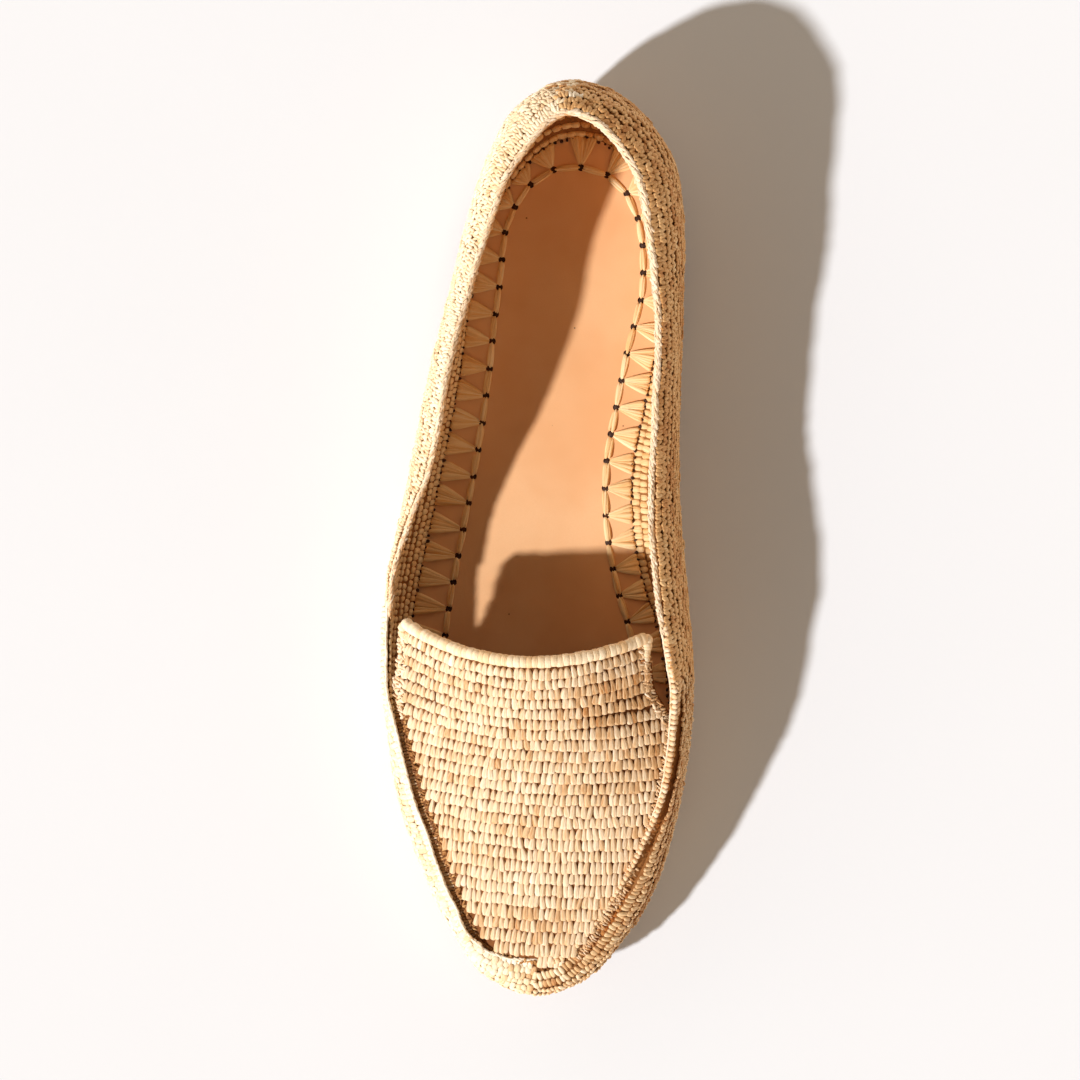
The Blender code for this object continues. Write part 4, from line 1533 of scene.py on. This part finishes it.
def makeInsole():
    bm = makePlate(-lacing["boardInset"], footHeight, lastShape["insole"], 0.3)
    insole = newPiece("insoleBoard", bm, insoleMaterial(), "insole_leather", "insole")
    # blind holes, cut to 1.7 mm under the insole's top
    cutters = bmesh.new()
    radius = lacing["hole"] / 2 * mm
    for x, y in holePlaces:
        made = bmesh.ops.create_cone(
            cutters, cap_ends=True, segments=14, radius1=radius, radius2=radius, depth=9 * mm,
        )
        top = float(insoleTop(heelY - y))
        bmesh.ops.translate(cutters, verts=made["verts"], vec=Vector((x, y, top + 2.8)) * mm)
    mesh = bpy.data.meshes.new("holeCutters")
    cutters.to_mesh(mesh)
    cutters.free()
    cutter = bpy.data.objects.new("holeCutters", mesh)
    bpy.context.scene.collection.objects.link(cutter)
    cut = insole.modifiers.new("holes", "BOOLEAN")
    cut.object = cutter
    graph = bpy.context.evaluated_depsgraph_get()
    done = bpy.data.meshes.new_from_object(insole.evaluated_get(graph))
    insole.modifiers.remove(cut)
    insole.data = done
    bpy.data.objects.remove(cutter)
    report(f"insoleBoard: {len(holePlaces)} lacing holes")


def makeLacing():
    size = lacing
    bars, fans = newBatch(61), newBatch(62)
    random = fans["random"]
    up = straightUp
    holes = np.column_stack([holePlaces, insoleTop(heelY - holePlaces[:, 1])])
    # running stitches lie flat from hole to hole
    for start, end in zip(holes, holes[1:]):
        side = np.cross(unit(end - start), up)
        reach = np.linalg.norm(end - start) - size["barShort"]
        for aside, lift, share in size["barStrands"]:
            middle = (start + end) / 2 + side * aside + up * lift
            strand = (size["barWide"], reach * share, size["barHigh"])
            addStitches(
                bars, middle[None], side[None], up[None], strand, size["barTone"], **size["barLoose"],
            )
    # fans run in from the wall to each hole
    for hole, inward, along, inset in zip(holes, holeInward, holeAlong, holeInset):
        outward = np.append(-inward, 0.0)
        side = np.append(along, 0.0)
        strands = int(random.integers(size["fanStrands"][0], size["fanStrands"][1] + 1))
        lean = random.normal(0, 0.35)
        spread = size["fanSpread"] + size["fanSpreadHeel"] * float(1 - smooth(25, 45, heelY - hole[1]))
        reach = inset - float(meetInset(heelY - hole[1], hole[0] < axisX)) - 0.2
        for k in range(strands):
            share = (k / (strands - 1) - 0.5) * 2
            near = hole + side * share * 0.5 + outward * 0.9 + up * 0.1
            far = hole + outward * reach
            far = far + side * (share * spread + lean + random.normal(0, 0.15))
            far = far + up * (size["fanClimb"] + random.normal(0, 0.12))
            way = unit(near - far)
            across = unit(np.cross(way, up))
            wide = size["fanWide"] * random.uniform(0.85, 1.2)
            addStitches(
                fans, ((near + far) / 2)[None], across[None], unit(np.cross(across, way))[None],
                (wide, np.linalg.norm(near - far), size["fanHigh"]), size["fanTone"], **size["fanLoose"],
            )
    finish = raffiaMaterial("lacingRaffia", **lacingLook)
    strand = makeStitch("barStrand", 7, 8, 0.35, 0.0, 0.15)
    layStitches("lacingBars", bars, [strand], finish, "woven_raffia")
    strand = makeStitch("fanStrand", 6, 8, 0.6, 0.42, 0.3)
    layStitches("lacingFans", fans, [strand], finish, "woven_raffia")


baseKnots = {
    "pitch": 1.9,
    "past": 0.3,  # the painted gap shade lies this far inside the lining's foot
    "lastAt": lastShape["throatAt"] + 20,
    "size": (0.95, 1.1, 0.9),
    "lift": 0.35,
    "loose": {"shift": 0.14, "swing": 20.0, "vary": 0.18},
    # the shade in a lacing hole
    "shadeOver": 1.05,  # its width in widths of the hole
    "shadeHigh": 0.5,
    "shadeSink": 0.45,
    "shadeLoose": {"shift": 0.05, "swing": 30.0, "vary": 0.05},
}
# painted shade: near-black for the gaps at the wall's foot and in the lacing holes
gapShadeLook = {
    "pit": (34, 18, 8),
    "deep": (58, 30, 14), "shade": (84, 46, 20), "straw": (120, 70, 32), "pale": (150, 92, 46),
}


def makeBaseGapShade():
    # painted shade: dark beads in the gaps where the fans pass under the wall's foot, and in the holes
    size = baseKnots
    batch = newBatch(71)
    outline, inward, along, at, isLateral = footOutline(footTurns)
    line = outline + inward * (meetInset(at, isLateral) + size["past"])[:, None]
    length = lengthAlong(line)
    spots = np.arange(0, length[-1], size["pitch"])
    place, way = pointsAt(spots, length, line), unit(pointsAt(spots, length, along))
    at = heelY - place[:, 1]
    place = np.column_stack([place, insoleTop(at) + size["lift"]])[at < size["lastAt"]]
    way = np.column_stack([way, np.zeros(len(at))])[at < size["lastAt"]]
    upward = np.tile(straightUp, (len(place), 1))
    addStitches(batch, place, way, upward, size["size"], 0.0, **size["loose"])
    wide = lacing["hole"] * size["shadeOver"]
    tops = insoleTop(heelY - holePlaces[:, 1]) - size["shadeSink"]
    flat = np.tile([1.0, 0.0, 0.0], (len(tops), 1))
    upward = np.tile(straightUp, (len(tops), 1))
    addStitches(
        batch, np.column_stack([holePlaces, tops]), flat, upward, (wide, wide, size["shadeHigh"]), 0.0,
        **size["shadeLoose"],
    )
    finish = raffiaMaterial("knotRaffia", **gapShadeLook)
    layStitches("baseKnots", batch, [makeStitch("knot", 7, 5, 0.2)], finish, "woven_raffia")


def makeOutsole():
    outsole = makePlate(lastShape["outsoleMargin"], soleBottom, lastShape["outsole"], 0.7)
    newPiece("outsolePlate", outsole, soleMaterial("outsoleLeather"), "sole_leather", "outsole")


def makeHeelBlock():
    lift = makePlate(lastShape["outsoleMargin"] - 0.3, lambda at: 0.0, lastShape["heelLift"], 0.5)
    # its breast is a straight cut, and it narrows towards the floor
    cut = bmesh.ops.bisect_plane(
        lift, geom=lift.verts[:] + lift.edges[:] + lift.faces[:],
        plane_co=(0, (heelY - lastShape["heelBreast"]) * mm, 0), plane_no=(0, -1, 0), clear_outer=True,
    )
    rim = [item for item in cut["geom_cut"] if isinstance(item, bmesh.types.BMEdge)]
    bmesh.ops.holes_fill(lift, edges=rim, sides=0)
    for vert in lift.verts:
        aside = vert.co.x - axisX * mm
        taper = lastShape["liftTaper"] * (1 - vert.co.z / (lastShape["heelLift"] * mm)) * mm
        vert.co.x -= math.copysign(min(taper, abs(aside) / 4), aside)
    finish = soleMaterial("heelLeather", edge=(96, 58, 32))
    newPiece("heelBlock", lift, finish, "heel_leather", "heel_lift")


studio = {
    "camera": (77.75, 38.0, 950.0),
    "aim": (-1.25, 1.0, 22.0),
    "headUp": (-0.0527, 0.9986, 0.0),  # the way that is up in the camera's frame
    "lens": 106.0,
    "sunWay": (1.015, 0.70, -1.0),
    "sunStrength": 4.2,
    "sunAngle": 3.0,
    "sunColour": (255, 252, 250),
    "fillLow": 1.16,
    "fillHigh": 0.07,
    "fillColour": (255, 231, 204),
    "floor": (231, 236, 243),
    "floorDip": 0.965,  # how far its colour drops in soft clouds
}


def setCamera():
    scene = bpy.context.scene
    place = Vector(studio["camera"]) * mm
    back = (place - Vector(studio["aim"]) * mm).normalized()
    right = Vector(studio["headUp"]).cross(back).normalized()
    up = back.cross(right)
    data = bpy.data.cameras.new("camera")
    data.lens = studio["lens"]
    data.sensor_width = 36
    data.clip_start = 0.01
    camera = bpy.data.objects.new("camera", data)
    camera.matrix_world = Matrix.Translation(place) @ Matrix((right, up, back)).transposed().to_4x4()
    scene.collection.objects.link(camera)
    scene.camera = camera
    scene.view_settings.view_transform = "Standard"


def makeLights():
    sun = bpy.data.lights.new("keyLight", "SUN")
    sun.energy = studio["sunStrength"]
    sun.angle = math.radians(studio["sunAngle"])
    sun.color = colour(*studio["sunColour"])[:3]
    lamp = bpy.data.objects.new("keyLight", sun)
    lamp.rotation_euler = Vector(studio["sunWay"]).to_track_quat("-Z", "Y").to_euler()
    bpy.context.scene.collection.objects.link(lamp)
    world = bpy.data.worlds.new("softFill")
    world.use_nodes = True
    tree = world.node_tree
    sky = tree.nodes["Background"]
    sky.inputs["Color"].default_value = colour(*studio["fillColour"])
    # the room is dim overhead and bright low down
    way = splitNode(tree, addNode(tree, "ShaderNodeTexCoord").outputs["Generated"])
    strength = rangeNode(tree, way[2], 0.25, 0.85, studio["fillLow"], studio["fillHigh"])
    tree.links.new(strength, sky.inputs["Strength"])
    bpy.context.scene.world = world


def makeFloor():
    bm = bmesh.new()
    bmesh.ops.create_grid(bm, x_segments=1, y_segments=1, size=3.0)
    mesh = bpy.data.meshes.new("floor")
    bm.to_mesh(mesh)
    bm.free()
    made, tree, shader = newMaterial("paleFloor", 0.9, 0.1)
    at = objectPlace(tree)
    cloud = noiseNode(tree, at, 6.0, 2.0, 0.5)
    pale = colour(*studio["floor"])
    dim = tuple(part * studio["floorDip"] for part in pale[:3]) + (1,)
    tree.links.new(mixNode(tree, cloud, pale, dim), shader.inputs["Base Color"])
    mesh.materials.append(made)
    floor = bpy.data.objects.new("floor", mesh)
    bpy.context.scene.collection.objects.link(floor)


setCamera()
makeLights()
makeFloor()
report("studio ready")
makeWallCore()
makeApronCore()
makeWallStitches()
makeInnerStitches()
makeCollarWraps()
makeRidge("lateral", 32)
makeRidge("medial", 33)
makeApronStitches()
makeApronEdges()
makeThroatRoll()
makeInsole()
makeLacing()
makeBaseGapShade()
makeOutsole()
makeHeelBlock()

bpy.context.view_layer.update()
report("finished")
